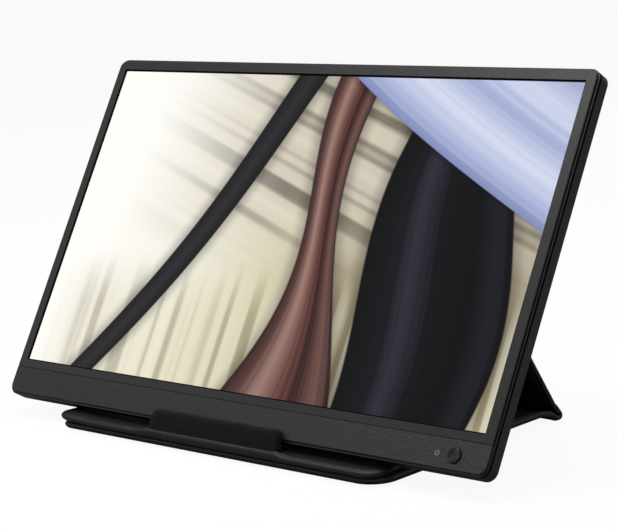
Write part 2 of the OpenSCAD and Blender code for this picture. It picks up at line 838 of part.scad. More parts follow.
module head_lining() {
  color("#262628") on_head() translate([0, fold_half, 0])
    leaf_lining(cover_w, head_leaf_l, leaf_corners, false, true);
}

// Stop in front of the monitor: a wedge cushion that swells in the middle of each
// face and draws in at its ends
module stop_pad() {
  color("#2c2c2e") difference() {
    translate([pad_off, edge_y, base_top]) pad_cushion(sections = 20, side_steps = 5);
    translate([0, 0, -eps]) bar_form(eps);
  }
}

// The cushion's skin, lofted from one section to the next along x
module pad_cushion(sections, side_steps) {
  corner_count = len(pad_corners);
  n = corner_count * side_steps;
  middle_y = (pad_front_y - pad_clear) / 2;

  // Point i of the section: on a side of the outline, pushed out by the crown. The
  // first side lies on the base leaf and stays flat.
  function side_point(i) =
    let (side = floor(i / side_steps), along = (i % side_steps) / side_steps,
         start = pad_corners[side], run = pad_corners[(side + 1) % corner_count] - start,
         swell = side == 0 ? 0 : 4 * pad_crown * along * (1 - along))
      start + along * run + swell * [run[1], -run[0]] / norm(run);

  function section(x, size) = [for (i = [0 : n - 1]) let (p = side_point(i))
    [x, middle_y + (p[0] - middle_y) * size, p[1] * size]];

  // How large the section is at x: full along the pad, smaller in an arc at each end
  function size_at(x) =
    let (out = max(0, abs(x) - pad_l / 2 + pad_end) / pad_end)
      pad_end_size + (1 - pad_end_size) * sqrt(max(0, 1 - out * out));

  xs = [for (k = [0 : sections]) -cos(180 * k / sections) * pad_l / 2];
  ends = [for (x = [xs[0], xs[sections]]) [x, middle_y, pad_h * pad_end_size / 2]];
  points = concat([for (x = xs) each section(x, size_at(x))], ends);
  side_faces = [for (k = [0 : sections - 1], i = [0 : n - 1])
    let (j = (i + 1) % n, a = k * n + i, b = k * n + j)
      each [[a, a + n, b + n], [a, b + n, b]]];
  last = sections * n;
  first_end = [for (i = [0 : n - 1]) [last + n, i, (i + 1) % n]];
  last_end = [for (i = [0 : n - 1]) [last + n + 1, last + (i + 1) % n, last + i]];
  polyhedron(points, concat(side_faces, first_end, last_end), convexity = 4);
}

// The stiff bar inside the stop, grown by a margin
module bar_form(grow) {
  translate([pad_off - bar_l / 2 - grow, edge_y + bar_y - grow, base_top])
    cube([bar_l + 2 * grow, bar_t + 2 * grow, bar_h + 2 * grow]);
}

module stop_bar() {
  color("#4a4a4c") bar_form(0);
}

front_bezel();
chin_plate();
rear_housing();
lcd_glass();
optical_films();
light_guide();
led_strip();
screen_chassis();
main_board();
usb_socket();
display_ribbon();
button_board();
dome_switch();
power_symbol_lens();
housing_screws();
rubber_pads();
catch_plates();
power_button();
base_skin();
base_board();
base_lining();
stop_pad();
stop_bar();
rear_fold_roll();
foot_crease();
foot_skin();
foot_board();
foot_lining();
prop_skin();
prop_board();
prop_lining();
head_crease();
head_skin();
head_board();
head_lining();
head_magnets();
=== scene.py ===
"""Portable monitor standing on its folding cover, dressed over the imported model.

Run as a script in Blender 4.5. Lengths are in metres, in the model's own frame.
"""

import json
import math

import bmesh
import bpy
from bpy.props import FloatProperty, FloatVectorProperty, PointerProperty
from mathutils import Matrix, Vector


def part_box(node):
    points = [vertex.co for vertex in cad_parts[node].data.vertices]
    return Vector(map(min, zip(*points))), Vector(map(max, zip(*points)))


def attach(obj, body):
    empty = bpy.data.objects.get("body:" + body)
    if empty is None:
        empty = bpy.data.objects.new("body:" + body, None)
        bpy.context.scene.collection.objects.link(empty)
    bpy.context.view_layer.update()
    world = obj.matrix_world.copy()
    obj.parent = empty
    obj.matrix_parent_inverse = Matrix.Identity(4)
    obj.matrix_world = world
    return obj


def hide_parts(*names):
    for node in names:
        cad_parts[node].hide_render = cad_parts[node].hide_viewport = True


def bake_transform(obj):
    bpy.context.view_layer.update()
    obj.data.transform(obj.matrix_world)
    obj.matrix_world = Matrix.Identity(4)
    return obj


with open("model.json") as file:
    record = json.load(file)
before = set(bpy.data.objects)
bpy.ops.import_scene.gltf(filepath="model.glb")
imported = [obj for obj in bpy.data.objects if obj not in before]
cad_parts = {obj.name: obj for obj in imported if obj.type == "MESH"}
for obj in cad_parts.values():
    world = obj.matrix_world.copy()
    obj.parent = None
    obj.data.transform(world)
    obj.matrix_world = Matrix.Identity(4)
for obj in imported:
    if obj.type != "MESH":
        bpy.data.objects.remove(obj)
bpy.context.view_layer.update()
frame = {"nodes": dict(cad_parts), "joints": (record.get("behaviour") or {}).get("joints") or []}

bl_info = {
    "name": "Portable monitor with cover",
    "version": (1, 0, 0),
    "blender": (4, 5, 0),
    "location": "3D View > Sidebar > Monitor",
    "description": "Dresses a portable monitor and the folding cover that it stands on",
    "category": "Object",
}

MM = 0.001
NODES = frame["nodes"]
JOINTS = {joint["name"]: joint for joint in frame["joints"]}
RIGHT = Vector((1, 0, 0))
BACK = Vector((0, 1, 0))
SCREEN_UP = Vector(JOINTS["monitor_lift"]["axis"])


class Place:
    """Axes on a flat piece: x to the right, y along it, z off its lined or lit side."""

    def __init__(self, origin, along):
        self.along = along.normalized()
        self.out = RIGHT.cross(self.along)
        self.matrix = Matrix((RIGHT, self.along, self.out)).transposed().to_4x4()
        self.matrix.translation = origin

    def extent(self, node):
        """Lowest and highest corner of a CAD node, along these axes."""
        inverse = self.matrix.inverted()
        points = [inverse @ v.co for v in NODES[node].data.vertices]
        low = Vector(min(p[i] for p in points) for i in range(3))
        high = Vector(max(p[i] for p in points) for i in range(3))
        return low, high


def joint_point(name):
    return Vector(JOINTS[name]["pos_m"])


def rising(node):
    """The direction up a leaning board, in the plane of its largest face."""
    normal = max(NODES[node].data.polygons, key=lambda face: face.area).normal
    along = RIGHT.cross(normal)
    return along if along.z > 0 else -along


# The case's axes start at its front face, in the middle of its lower edge
LEANING = Place(Vector((0, 0, 0)), SCREEN_UP)
case_foot, case_face = LEANING.extent("front_bezel")[0].y, LEANING.extent("chin_plate")[1].z
CASE = Place(LEANING.matrix @ Vector((0, case_foot, case_face)), SCREEN_UP)
BASE = Place(Vector((0, 0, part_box("base_skin")[0].z)), BACK)
FOOT = Place(Vector((0, 0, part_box("foot_skin")[0].z)), BACK)
PROP = Place(joint_point("prop_fold"), rising("prop_board"))
HEAD = Place(joint_point("head_fold"), SCREEN_UP)


# Sizes and colours that a user would change


def length(name, text, default, low=0.0, high=0.5):
    """A length property in metres."""
    return FloatProperty(name=name, description=text, default=default, min=low, max=high,
                         unit="LENGTH", precision=5)


def shade(name, text, hex_code):
    """A colour property, given as an sRGB hex value."""
    return FloatVectorProperty(name=name, description=text, subtype="COLOR", size=4,
                               min=0.0, max=1.0, default=linear(hex_code))


def linear(hex_code):
    """Linear RGBA of an sRGB hex value such as #1c1c1e."""
    parts = [int(hex_code[i:i + 2], 16) / 255 for i in (1, 3, 5)]
    return tuple(c / 12.92 if c <= 0.04045 else ((c + 0.055) / 1.055) ** 2.4 for c in parts) + (1.0,)


class MonitorSizes(bpy.types.PropertyGroup):
    """Sizes of the monitor's finish."""
    edge_round: length("Edge round", "Rounding of the moulded case's edges", 0.00025)
    hairline_length: length("Hairline length", "Length of the hairlines on the chin", 0.012)
    hairline_width: length("Hairline width", "Distance between hairlines, drawn coarse to show", 0.0004)
    symbol_size: length("Symbol size", "Height of the power symbol", 0.003)
    symbol_line: length("Symbol line", "Width of the power symbol's line", 0.00036)


class CoverSizes(bpy.types.PropertyGroup):
    """Sizes of the cover's leather, lining and seams."""
    rim: length("Rim", "Width of the leather rim between edge and lining", 0.0044)
    seam: length("Seam", "Distance of the stitched seam from the edge", 0.0031)
    seam_depth: length("Seam depth", "How far the seam draws the leather in", 0.0006)
    stitch_pitch: length("Stitch pitch", "Distance from one stitch to the next", 0.0028)
    stitch_length: length("Stitch length", "Length of one stitch", 0.0021)
    stitch_width: length("Stitch width", "Thickness of the thread", 0.00042)
    rib_pitch: length("Rib pitch", "Distance between the ribs of the lining, drawn coarse to show", 0.0014)
    grain: length("Grain", "Size of the leather's grain, drawn coarse to show", 0.0009)


class Colours(bpy.types.PropertyGroup):
    """Colours of the finishes."""
    case: shade("Case", "Moulded plastic of bezel and housing", "#1b1a1c")
    chin: shade("Chin", "Plate below the picture", "#201f21")
    leather: shade("Leather", "Imitation leather of the cover", "#0f0e10")
    lining: shade("Lining", "Ribbed lining of the cover", "#100f11")
    suede: shade("Suede", "Microfibre of the stop", "#141315")
    thread: shade("Thread", "Sewing thread", "#3a3a3c")
    symbol: shade("Symbol", "Printed power symbol", "#96989b")


class StageSizes(bpy.types.PropertyGroup):
    """Camera and light."""
    lens: FloatProperty(name="Lens", description="Focal length on a 36 mm wide sensor",
                        default=118.2, unit="CAMERA")
    azimuth: FloatProperty(name="Azimuth", description="Camera's angle to the right of the front",
                           default=math.radians(41.33), subtype="ANGLE")
    elevation: FloatProperty(name="Elevation", description="Camera's angle above the floor",
                             default=math.radians(9.76), subtype="ANGLE")
    roll: FloatProperty(name="Roll", description="Camera's turn about its own axis",
                        default=math.radians(-2.49), subtype="ANGLE")
    light: FloatProperty(name="Light", description="Strength of the lamps as a share of the default",
                         default=1.0, min=0.0)


# Meshes


def new_piece(name, verts, faces, place=None, smooth=True):
    """A mesh object whose points are given along a place's axes and stored in the model's frame."""
    mesh = bpy.data.meshes.new(name)
    mesh.from_pydata([tuple(v) for v in verts], [], faces)
    if place:
        mesh.transform(place.matrix)
    mesh.validate()
    mesh.polygons.foreach_set("use_smooth", [smooth] * len(mesh.polygons))
    return show(name, mesh)


def show(name, data):
    """An object in the scene that holds a mesh, a lamp or a camera."""
    thing = bpy.data.objects.new(name, data)
    bpy.context.scene.collection.objects.link(thing)
    return thing


def bake(piece, modifier):
    """Turns what a modifier makes of a piece into the piece's own mesh."""
    name = piece.data.name
    evaluated = piece.evaluated_get(bpy.context.evaluated_depsgraph_get())
    final = bpy.data.meshes.new_from_object(evaluated)
    piece.modifiers.remove(modifier)
    piece.data = final
    final.name = name
    return final


def outline(low, high, radii, inset, arc_steps=8, along_steps=40, across_steps=60):
    """Points round a rectangle in x and y, anticlockwise, drawn in by inset.

    radii are the corner radii at its start left and right, then at its end left and right.
    """
    x0, x1 = low.x + inset, high.x - inset
    y0, y1 = low.y + inset, high.y - inset
    start_left, start_right, end_left, end_right = (max(r - inset, 0.2 * MM) for r in radii)
    corners = [
        # centre, radius and first angle of each corner's arc
        (x1 - start_right, y0 + start_right, start_right, -90),
        (x1 - end_right, y1 - end_right, end_right, 0),
        (x0 + end_left, y1 - end_left, end_left, 90),
        (x0 + start_left, y0 + start_left, start_left, 180),
    ]
    arcs = []
    for cx, cy, r, first in corners:
        angles = [math.radians(first + 90 * i / arc_steps) for i in range(arc_steps + 1)]
        arcs.append([Vector((cx + r * math.cos(a), cy + r * math.sin(a), 0)) for a in angles])
    points = []
    for i, arc in enumerate(arcs):
        points += arc
        end, start = arc[-1], arcs[(i + 1) % 4][0]
        steps = along_steps if i % 2 == 0 else across_steps
        points += [end.lerp(start, k / steps) for k in range(1, steps)]
    return points


def loft(rings):
    """Points and faces of a closed skin through rings of equal length."""
    n = len(rings[0])
    last = (len(rings) - 1) * n
    verts = [p for ring in rings for p in ring]
    faces = [(k * n + i, k * n + (i + 1) % n, (k + 1) * n + (i + 1) % n, (k + 1) * n + i)
             for k in range(len(rings) - 1) for i in range(n)]
    faces += [tuple(range(n - 1, -1, -1)), tuple(range(last, last + n))]
    return verts, faces


def rounded_copy(node, name, width, segments=2, angle=30):
    """A copy of a CAD node with its doubles merged and its sharp edges rounded."""
    mesh = NODES[node].data.copy()
    mesh.name = name
    piece = show(name, mesh)
    work = bmesh.new()
    work.from_mesh(mesh)
    bmesh.ops.remove_doubles(work, verts=work.verts, dist=2e-6)
    bmesh.ops.dissolve_limit(work, angle_limit=math.radians(1), verts=work.verts, edges=work.edges)
    work.to_mesh(mesh)
    work.free()
    mesh.materials.clear()
    bevel = piece.modifiers.new("edges", "BEVEL")
    bevel.width = width
    bevel.segments = segments
    bevel.limit_method = "ANGLE"
    bevel.angle_limit = math.radians(angle)
    rounded = bake(piece, bevel)
    rounded.polygons.foreach_set("use_smooth", [True] * len(rounded.polygons))
    rounded.set_sharp_from_angle(angle=math.radians(angle))
    # Large flat faces keep their own normals, and only the roundings shade smoothly
    weights = piece.modifiers.new("normals", "WEIGHTED_NORMAL")
    weights.mode = "FACE_AREA"
    weights.keep_sharp = True
    bake(piece, weights)
    return piece


# Materials


def add(tree, kind, links=None, **settings):
    """Adds one node with its settings; links gives an input's name or number a value or an output."""
    new = tree.nodes.new(kind)
    for key, value in settings.items():
        setattr(new, key, value)
    for key, value in (links or {}).items():
        socket = new.inputs[key]
        if isinstance(value, bpy.types.NodeSocket):
            tree.links.new(value, socket)
        else:
            socket.default_value = value
    return new


def new_finish(name, **constants):
    """A material with one Principled shader, whose constant inputs are set on its own sockets."""
    finish = bpy.data.materials.new(name)
    finish.use_nodes = True
    tree = finish.node_tree
    tree.nodes.clear()
    shader = add(tree, "ShaderNodeBsdfPrincipled", constants)
    add(tree, "ShaderNodeOutputMaterial", {"Surface": shader.outputs["BSDF"]})
    return finish, tree, shader


def axes_on(tree, place):
    """Object coordinates turned to a place's axes, in metres."""
    inverse = place.matrix.inverted()
    return add(tree, "ShaderNodeMapping", {"Vector": object_point(tree), "Location": inverse.translation,
                                           "Rotation": tuple(inverse.to_euler())}).outputs["Vector"]


def object_point(tree):
    """Object coordinates, which are metres in the model's frame."""
    return add(tree, "ShaderNodeTexCoord").outputs["Object"]


def scaled(tree, vector, sizes):
    """A vector divided by real sizes in metres, so that one unit is one pattern repeat."""
    shares = [1 / size for size in sizes]
    return add(tree, "ShaderNodeMapping", {"Vector": vector, "Scale": shares}).outputs["Vector"]


def cloud(tree, vector, sizes, detail, roughness=0.5):
    """Noise whose blobs have the given sizes in metres, one size for all three directions or one each."""
    sizes = sizes if isinstance(sizes, tuple) else (sizes,) * 3
    return add(tree, "ShaderNodeTexNoise", {"Vector": scaled(tree, vector, sizes), "Scale": 1.0,
                                            "Detail": detail, "Roughness": roughness}).outputs["Fac"]


def stretch(tree, value, low, high, to_low=0.0, to_high=1.0):
    """Maps a value from one range to another and holds it there."""
    return add(tree, "ShaderNodeMapRange", {"Value": value, "From Min": low, "From Max": high,
                                            "To Min": to_low, "To Max": to_high}).outputs["Result"]


def calc(tree, kind, *terms):
    """One step of arithmetic."""
    return add(tree, "ShaderNodeMath", dict(enumerate(terms)), operation=kind).outputs[0]


def between(tree, factor, first, second):
    """A colour between two others; inputs 6 and 7 and output 2 are the mix node's colours."""
    return add(tree, "ShaderNodeMix", {"Factor": factor, 6: first, 7: second}, data_type="RGBA").outputs[2]


def bump(tree, shader, height, depth, before=None):
    """Raises the surface by depth metres where height is 1."""
    links = {"Height": height, "Strength": 1.0, "Distance": depth}
    if before:
        links["Normal"] = before
    normal = add(tree, "ShaderNodeBump", links).outputs["Normal"]
    tree.links.new(normal, shader.inputs["Normal"])
    return normal


def vary(tree, shader, socket, factor, low, high):
    """Lets a factor run a socket between two numbers."""
    tree.links.new(stretch(tree, factor, 0.0, 1.0, low, high), shader.inputs[socket])


def tint(tree, shader, factor, dark, light):
    """Lets a factor run the base colour between two colours."""
    tree.links.new(between(tree, factor, dark, light), shader.inputs["Base Color"])


def scale_colour(colour, share):
    """A lighter or darker copy of a colour."""
    return tuple(min(1.0, c * share) for c in colour[:3]) + (1.0,)


def abs_plastic(name, colour, roughness, shaded_depths):
    """Moulded ABS with a spark-eroded texture: a soft sheen broken by very fine grain.

    The depths listed, front and back, are where a step or a groove in the case gets painted shade: a darker
    colour and lower specular stand in for the light that hardly reaches in.
    """
    finish, tree, shader = new_finish(name, **{"IOR": 1.53})
    point = object_point(tree)
    # Grain of the eroded mould, real about 0.1 mm, drawn at 0.3 mm so that it shows
    grain = cloud(tree, point, 0.3 * MM, 3.0, 0.6)
    # Slow drift of sheen across a large moulding
    drift = cloud(tree, point, 60 * MM, 2.0)
    vary(tree, shader, "Roughness", drift, roughness - 0.05, roughness + 0.07)
    bump(tree, shader, grain, 0.03 * MM)
    # Painted shade: the step and the groove are darkened and made matt in colour, standing in for the light
    # that hardly reaches into them
    depth = add(tree, "ShaderNodeSeparateXYZ", {"Vector": axes_on(tree, CASE)}).outputs["Z"]
    inside = 0.0
    for front, back in shaded_depths:
        middle, half = (front + back) / 2, (front - back) / 2
        inside = calc(tree, "MAXIMUM", calc(tree, "COMPARE", depth, middle, half), inside)
    # Outside the shaded depths the grain sets the tone; inside them the colour is painted dark as shade
    open_tone = stretch(tree, grain, 0.0, 1.0, 0.75, 1.0)
    tone = stretch(tree, inside, 0.0, 1.0, open_tone, 0.2)
    tint(tree, shader, tone, linear("#000000"), colour)
    vary(tree, shader, "Specular IOR Level", inside, 0.5, 0.06)
    return finish


def hairline_plastic(name, colour, sizes):
    """Moulded plate with fine lines along its length: light spreads up and down across them."""
    finish, tree, shader = new_finish(name, **{"IOR": 1.53, "Specular IOR Level": 0.5})
    along = axes_on(tree, CASE)
    lines = cloud(tree, along, (sizes.hairline_length, sizes.hairline_width, sizes.hairline_length), 4.0, 0.7)
    sharp = stretch(tree, lines, 0.3, 0.7)
    tint(tree, shader, sharp, scale_colour(colour, 0.45), scale_colour(colour, 1.6))
    vary(tree, shader, "Roughness", sharp, 0.5, 0.36)
    bump(tree, shader, sharp, 0.09 * MM)
    return finish


def leather(name, colour, grain_size):
    """Polyurethane leather: small pebbled cells, a soft sheen and shallow slow waves over the board."""
    finish, tree, shader = new_finish(name, **{"IOR": 1.5, "Specular IOR Level": 0.5})
    point = object_point(tree)
    grains = scaled(tree, point, (grain_size,) * 3)
    cells = add(tree, "ShaderNodeTexVoronoi", {"Vector": grains, "Scale": 1.0},
                feature="DISTANCE_TO_EDGE").outputs["Distance"]
    pebble = stretch(tree, cells, 0.0, 0.35)
    waves = cloud(tree, point, 25 * MM, 3.0)
    tint(tree, shader, pebble, scale_colour(colour, 0.7), scale_colour(colour, 1.12))
    vary(tree, shader, "Roughness", waves, 0.4, 0.56)
    broad = bump(tree, shader, waves, 0.6 * MM)
    bump(tree, shader, pebble, 0.06 * MM, before=broad)
    return finish


def ribbed_cloth(name, colour, place, pitch):
    """Woven polyester lining: ribs along the leaf, each crossed by short floats, with dark gaps between."""
    finish, tree, shader = new_finish(name, **{"IOR": 1.5, "Specular IOR Level": 0.25, "Roughness": 0.75})
    along = axes_on(tree, place)
    # At this scale the wave texture makes one band to a unit, near enough
    one_band = 2 / math.tau
    ribs = add(tree, "ShaderNodeTexWave", {"Vector": scaled(tree, along, (pitch,) * 3), "Scale": one_band,
                                           "Distortion": 0.5, "Detail": 2.0, "Detail Scale": 2.0},
               wave_type="BANDS", bands_direction="X").outputs["Fac"]
    floats = cloud(tree, along, (pitch * 0.5, pitch * 0.4, pitch), 2.0)
    crest = stretch(tree, calc(tree, "MULTIPLY", ribs, floats), 0.0, 0.6)
    tint(tree, shader, crest, scale_colour(colour, 0.2), scale_colour(colour, 3.6))
    bump(tree, shader, crest, 0.4 * MM)
    return finish


def suede(name, colour):
    """Brushed microfibre: dense short nap that looks mottled and takes light at grazing angles."""
    finish, tree, shader = new_finish(name, **{"IOR": 1.45, "Specular IOR Level": 0.15, "Roughness": 0.95,
                                               "Sheen Weight": 0.05, "Sheen Roughness": 0.5})
    # Tufts of the nap, real about 0.2 mm, drawn at 0.8 mm so that they show
    nap = cloud(tree, object_point(tree), 0.8 * MM, 4.0, 0.7)
    mottle = stretch(tree, nap, 0.35, 0.65)
    tint(tree, shader, mottle, scale_colour(colour, 0.35), scale_colour(colour, 2.0))
    bump(tree, shader, nap, 0.3 * MM)
    return finish


def plain_finish(name, colour, roughness, metallic=0.0, grain=0.4 * MM):
    """A finish for a small or inner part: its colour and sheen broken by fine grain."""
    finish, tree, shader = new_finish(name, **{"Metallic": metallic})
    speck = cloud(tree, object_point(tree), grain, 2.0)
    tint(tree, shader, speck, scale_colour(colour, 0.9), scale_colour(colour, 1.1))
    vary(tree, shader, "Roughness", speck, roughness - 0.05, roughness + 0.05)
    bump(tree, shader, speck, 0.02 * MM)
    return finish


def dress(piece, finish, body=None):
    """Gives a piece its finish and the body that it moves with."""
    piece.data.materials.clear()
    piece.data.materials.append(finish)
    if body:
        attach(piece, body)
    return piece


def dress_node(node, finish):
    """Gives a CAD node that stays in view its finish."""
    NODES[node].data.materials.clear()
    NODES[node].data.materials.append(finish)


# Pieces


# Depths behind the face that get painted shade: the side of the raised face, the side of the rim behind it,
# and the groove before the housing
STEP_SHADED_DEPTHS = [(-0.45 * MM, -1.3 * MM), (-1.65 * MM, -2.7 * MM)]
GROOVE_SHADED_DEPTHS = [(-2.5 * MM, -3.5 * MM)]


class OBJECT_OT_monitor_case(bpy.types.Operator):
    """Bezel, chin plate and rear housing with rounded edges"""
    bl_idname = "object.monitor_case"
    bl_label = "Monitor case"

    def execute(self, context):
        sizes, colours = context.scene.monitor_sizes, context.scene.monitor_colours
        finishes = {
            "front_bezel": abs_plastic("moulded_abs_bezel", colours.case, 0.42, STEP_SHADED_DEPTHS),
            "chin_plate": hairline_plastic("hairline_abs_chin", colours.chin, sizes),
            "rear_housing": abs_plastic("moulded_abs_housing", colours.case, 0.4, GROOVE_SHADED_DEPTHS),
        }
        for node, finish in finishes.items():
            piece = rounded_copy(node, node + "_moulding", sizes.edge_round)
            dress(piece, finish, "monitor")
            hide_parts(node)
        return {"FINISHED"}


class OBJECT_OT_screen_picture(bpy.types.Operator):
    """Lit picture behind the glass: soft overlapping bands, out of focus"""
    bl_idname = "object.screen_picture"
    bl_label = "Screen picture"

    def execute(self, context):
        dress_node("lcd_glass", picture_finish("lit_screen_glass", *CASE.extent("lcd_glass")))
        return {"FINISHED"}


def picture_finish(name, low, high):
    """Glass over a lit panel that shows a made-up wallpaper: silk ribbons before a blurred background."""
    finish, tree, shader = new_finish(name, **{"Roughness": 0.3, "IOR": 1.5, "Specular IOR Level": 0.12,
                                               "Base Color": linear("#020203"), "Emission Strength": 1.0})
    parts = add(tree, "ShaderNodeSeparateXYZ", {"Vector": axes_on(tree, CASE)})
    # u runs from 0 to 1 across the picture and v from 0 to 1 up it
    u = stretch(tree, parts.outputs["X"], low.x, high.x)
    v = stretch(tree, parts.outputs["Y"], low.y, high.y)

    def ramp(value, stops):
        """Colours at given places along a value."""
        node = add(tree, "ShaderNodeValToRGB", {0: value})
        marks = node.color_ramp.elements
        while len(marks) < len(stops):
            marks.new(0.5)
        for mark, (spot, hex_code) in zip(marks, stops):
            mark.position, mark.color = spot, linear(hex_code)
        return node.outputs["Color"]

    def step(value, low_edge, high_edge):
        """0 below one value and 1 above another, with soft ends."""
        return add(tree, "ShaderNodeMapRange", {"Value": value, "From Min": low_edge, "From Max": high_edge},
                   interpolation_type="SMOOTHSTEP").outputs["Result"]

    def both(first, second):
        return calc(tree, "MULTIPLY", first, second)

    def edge(base, lean, swing, pitch, phase):
        """How far a spot lies to the right of a wavy upright line."""
        wave = calc(tree, "SINE", calc(tree, "MULTIPLY_ADD", v, pitch, phase))
        line = calc(tree, "MULTIPLY_ADD", wave, swing, calc(tree, "MULTIPLY_ADD", v, lean, base))
        return calc(tree, "SUBTRACT", u, line)

    # Background: haze that runs from white through straw to taupe
    haze = calc(tree, "MULTIPLY_ADD", v, -0.18, u)
    picture = ramp(haze, [(0.0, "#fffdf8"), (0.22, "#f7f3e6"), (0.42, "#d9d2b4"), (0.6, "#a3987f"),
                          (0.8, "#8d836f"), (1.0, "#b8ab92")])
    # Broad slanting beams in the upper half, lost in the haze at the left
    slant = calc(tree, "MULTIPLY_ADD", u, 0.62, v)
    beams = ramp(streaks(tree, slant, 9.0, 2.0),
                 [(0.0, "#4e4942"), (0.42, "#6d665b"), (0.5, "#cfc6b4"), (1.0, "#efe9dc")])
    upper = both(step(v, 0.35, 0.62), step(u, 0.08, 0.5))
    picture = between(tree, both(upper, 0.85), picture, beams)
    # Thin upright posts low in the picture
    posts = ramp(streaks(tree, u, 26.0, 1.0),
                 [(0.0, "#6f6650"), (0.4, "#978c6c"), (0.5, "#e2dcc0"), (1.0, "#f3efdc")])
    lower = both(step(v, 0.42, 0.2), step(u, 0.0, 0.12))
    picture = between(tree, both(lower, 0.6), picture, posts)
    for left, right, stops in RIBBONS:
        inside, outside = edge(*left), edge(*right)
        across = calc(tree, "DIVIDE", inside, calc(tree, "SUBTRACT", inside, outside))
        # Fine sheen lines along the silk
        wander = calc(tree, "SUBTRACT", streaks(tree, across, 24.0, 3.0), 0.5)
        silk = calc(tree, "MULTIPLY_ADD", wander, 0.16, across)
        mask = both(step(inside, -0.0022, 0.0022), step(outside, 0.0022, -0.0022))
        # A soft shadow falls beside each ribbon
        near = both(step(inside, -0.03, 0.004), step(outside, 0.03, -0.004))
        picture = between(tree, both(near, 0.45), picture, linear("#000000"))
        picture = between(tree, mask, picture, ramp(silk, stops))
    tree.links.new(picture, shader.inputs["Emission Color"])
    return finish


def streaks(tree, value, scale, detail):
    """Noise along one direction only, which draws parallel lines."""
    return add(tree, "ShaderNodeTexNoise", {"W": value, "Scale": scale, "Detail": detail},
               noise_dimensions="1D").outputs["Fac"]


# Silk ribbons on the screen, each with its left edge, its right edge and its colours across
# An edge is a wavy upright line: its foot, lean, swing, pitch and phase, in shares of the picture
RIBBONS = [
    ((0.10, 0.34, 0.030, 3.4, 0.2), (0.145, 0.36, 0.034, 3.1, 0.5),
     [(0.0, "#17171a"), (0.5, "#2b2a2c"), (1.0, "#111113")]),
    ((0.44, 0.13, 0.055, 4.2, 0.4), (0.655, -0.02, 0.050, 3.6, 2.2),
     [(0.0, "#241315"), (0.16, "#5e3f3b"), (0.33, "#9c7b70"), (0.5, "#6b4540"), (0.68, "#38201f"),
      (0.86, "#70504a"), (1.0, "#1d1012")]),
    ((0.655, 0.10, 0.045, 3.9, 1.9), (0.93, 0.02, 0.040, 4.6, 0.6),
     [(0.0, "#050507"), (0.22, "#14141a"), (0.34, "#2c2d38"), (0.5, "#0d0d12"), (0.75, "#08080b"),
      (0.9, "#1b1c24"), (1.0, "#040406")]),
    ((1.52, -0.95, 0.040, 5.0, 0.3), (2.35, -1.35, 0.060, 4.0, 2.2),
     [(0.0, "#6f7bac"), (0.1, "#a9b3d8"), (0.3, "#d5dbef"), (0.5, "#a4afd4"), (0.7, "#cfd5ec"),
      (1.0, "#8f9ac4")]),
]


class OBJECT_OT_power_button(bpy.types.Operator):
    """Spun metal power button and the printed power symbol beside it"""
    bl_idname = "object.power_button"
    bl_label = "Power button"

    def execute(self, context):
        sizes, colours = context.scene.monitor_sizes, context.scene.monitor_colours
        low, high = CASE.extent("power_button")
        middle = Vector(((low.x + high.x) / 2, (low.y + high.y) / 2, 0))
        button = turned_button("power_button_cap", middle, (high.x - low.x) / 2, low.z, high.z)
        dress(button, spun_metal("spun_aluminium_button"), "button")
        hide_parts("power_button")
        lens_low, lens_high = CASE.extent("power_symbol_lens")
        centre = Vector(((lens_low.x + lens_high.x) / 2, (lens_low.y + lens_high.y) / 2, 0))
        symbol = power_symbol("power_symbol_print", centre, sizes.symbol_size, sizes.symbol_line)
        dress(symbol, plain_finish("printed_ink_symbol", colours.symbol, 0.5), "monitor")
        return {"FINISHED"}


# The button: width of its flange, depths of the flange's front and back, radius of its stem, dish of its face
FLANGE_WIDTH = 1.1 * MM
FLANGE_FRONT = -2.75 * MM
FLANGE_BACK = -3.35 * MM
STEM_RADIUS = 1.6 * MM
DISH = 0.25 * MM


def turned_button(name, middle, flange, back, front, steps=64):
    """A cap with a dished, spun face, a bevelled rim, a flange behind and a stem."""
    radius = flange - FLANGE_WIDTH
    profile = [(radius * k / 12, front - DISH * (1 - (k / 10.2) ** 2)) for k in range(1, 11)]
    profile += [(radius - 0.45 * MM, front), (radius - 0.12 * MM, front - 0.1 * MM),
                (radius, front - 0.35 * MM), (radius, FLANGE_FRONT), (flange, FLANGE_FRONT),
                (flange, FLANGE_BACK), (STEM_RADIUS, FLANGE_BACK), (STEM_RADIUS, back)]
    verts, faces = [], []
    for r, z in profile:
        verts += [middle + Vector((r * math.cos(math.tau * i / steps), r * math.sin(math.tau * i / steps), z))
                  for i in range(steps)]
    for k in range(len(profile) - 1):
        here, deeper = k * steps, (k + 1) * steps
        faces += [(here + i, deeper + i, deeper + (i + 1) % steps, here + (i + 1) % steps)
                  for i in range(steps)]
    tip, tail, last = len(verts), len(verts) + 1, len(verts) - steps
    verts += [middle + Vector((0, 0, front - DISH)), middle + Vector((0, 0, back))]
    faces += [(tip, i, (i + 1) % steps) for i in range(steps)]
    faces += [(tail, last + (i + 1) % steps, last + i) for i in range(steps)]
    piece = new_piece(name, verts, faces, CASE)
    piece.data.set_sharp_from_angle(angle=math.radians(40))
    # U runs round the button and V outwards, so that the spinning marks follow the rim
    layer = piece.data.uv_layers.new(name="round")
    inverse = CASE.matrix.inverted()
    for polygon in piece.data.polygons:
        centre = inverse @ polygon.center - middle
        base_angle = math.atan2(centre.y, centre.x)
        for loop in polygon.loop_indices:
            p = inverse @ piece.data.vertices[piece.data.loops[loop].vertex_index].co - middle
            r = Vector((p.x, p.y)).length
            turn = (math.atan2(p.y, p.x) - base_angle + math.pi) % math.tau - math.pi if r > 1e-6 else 0.0
            layer.data[loop].uv = ((base_angle + turn) / math.tau, r / radius)
    return piece


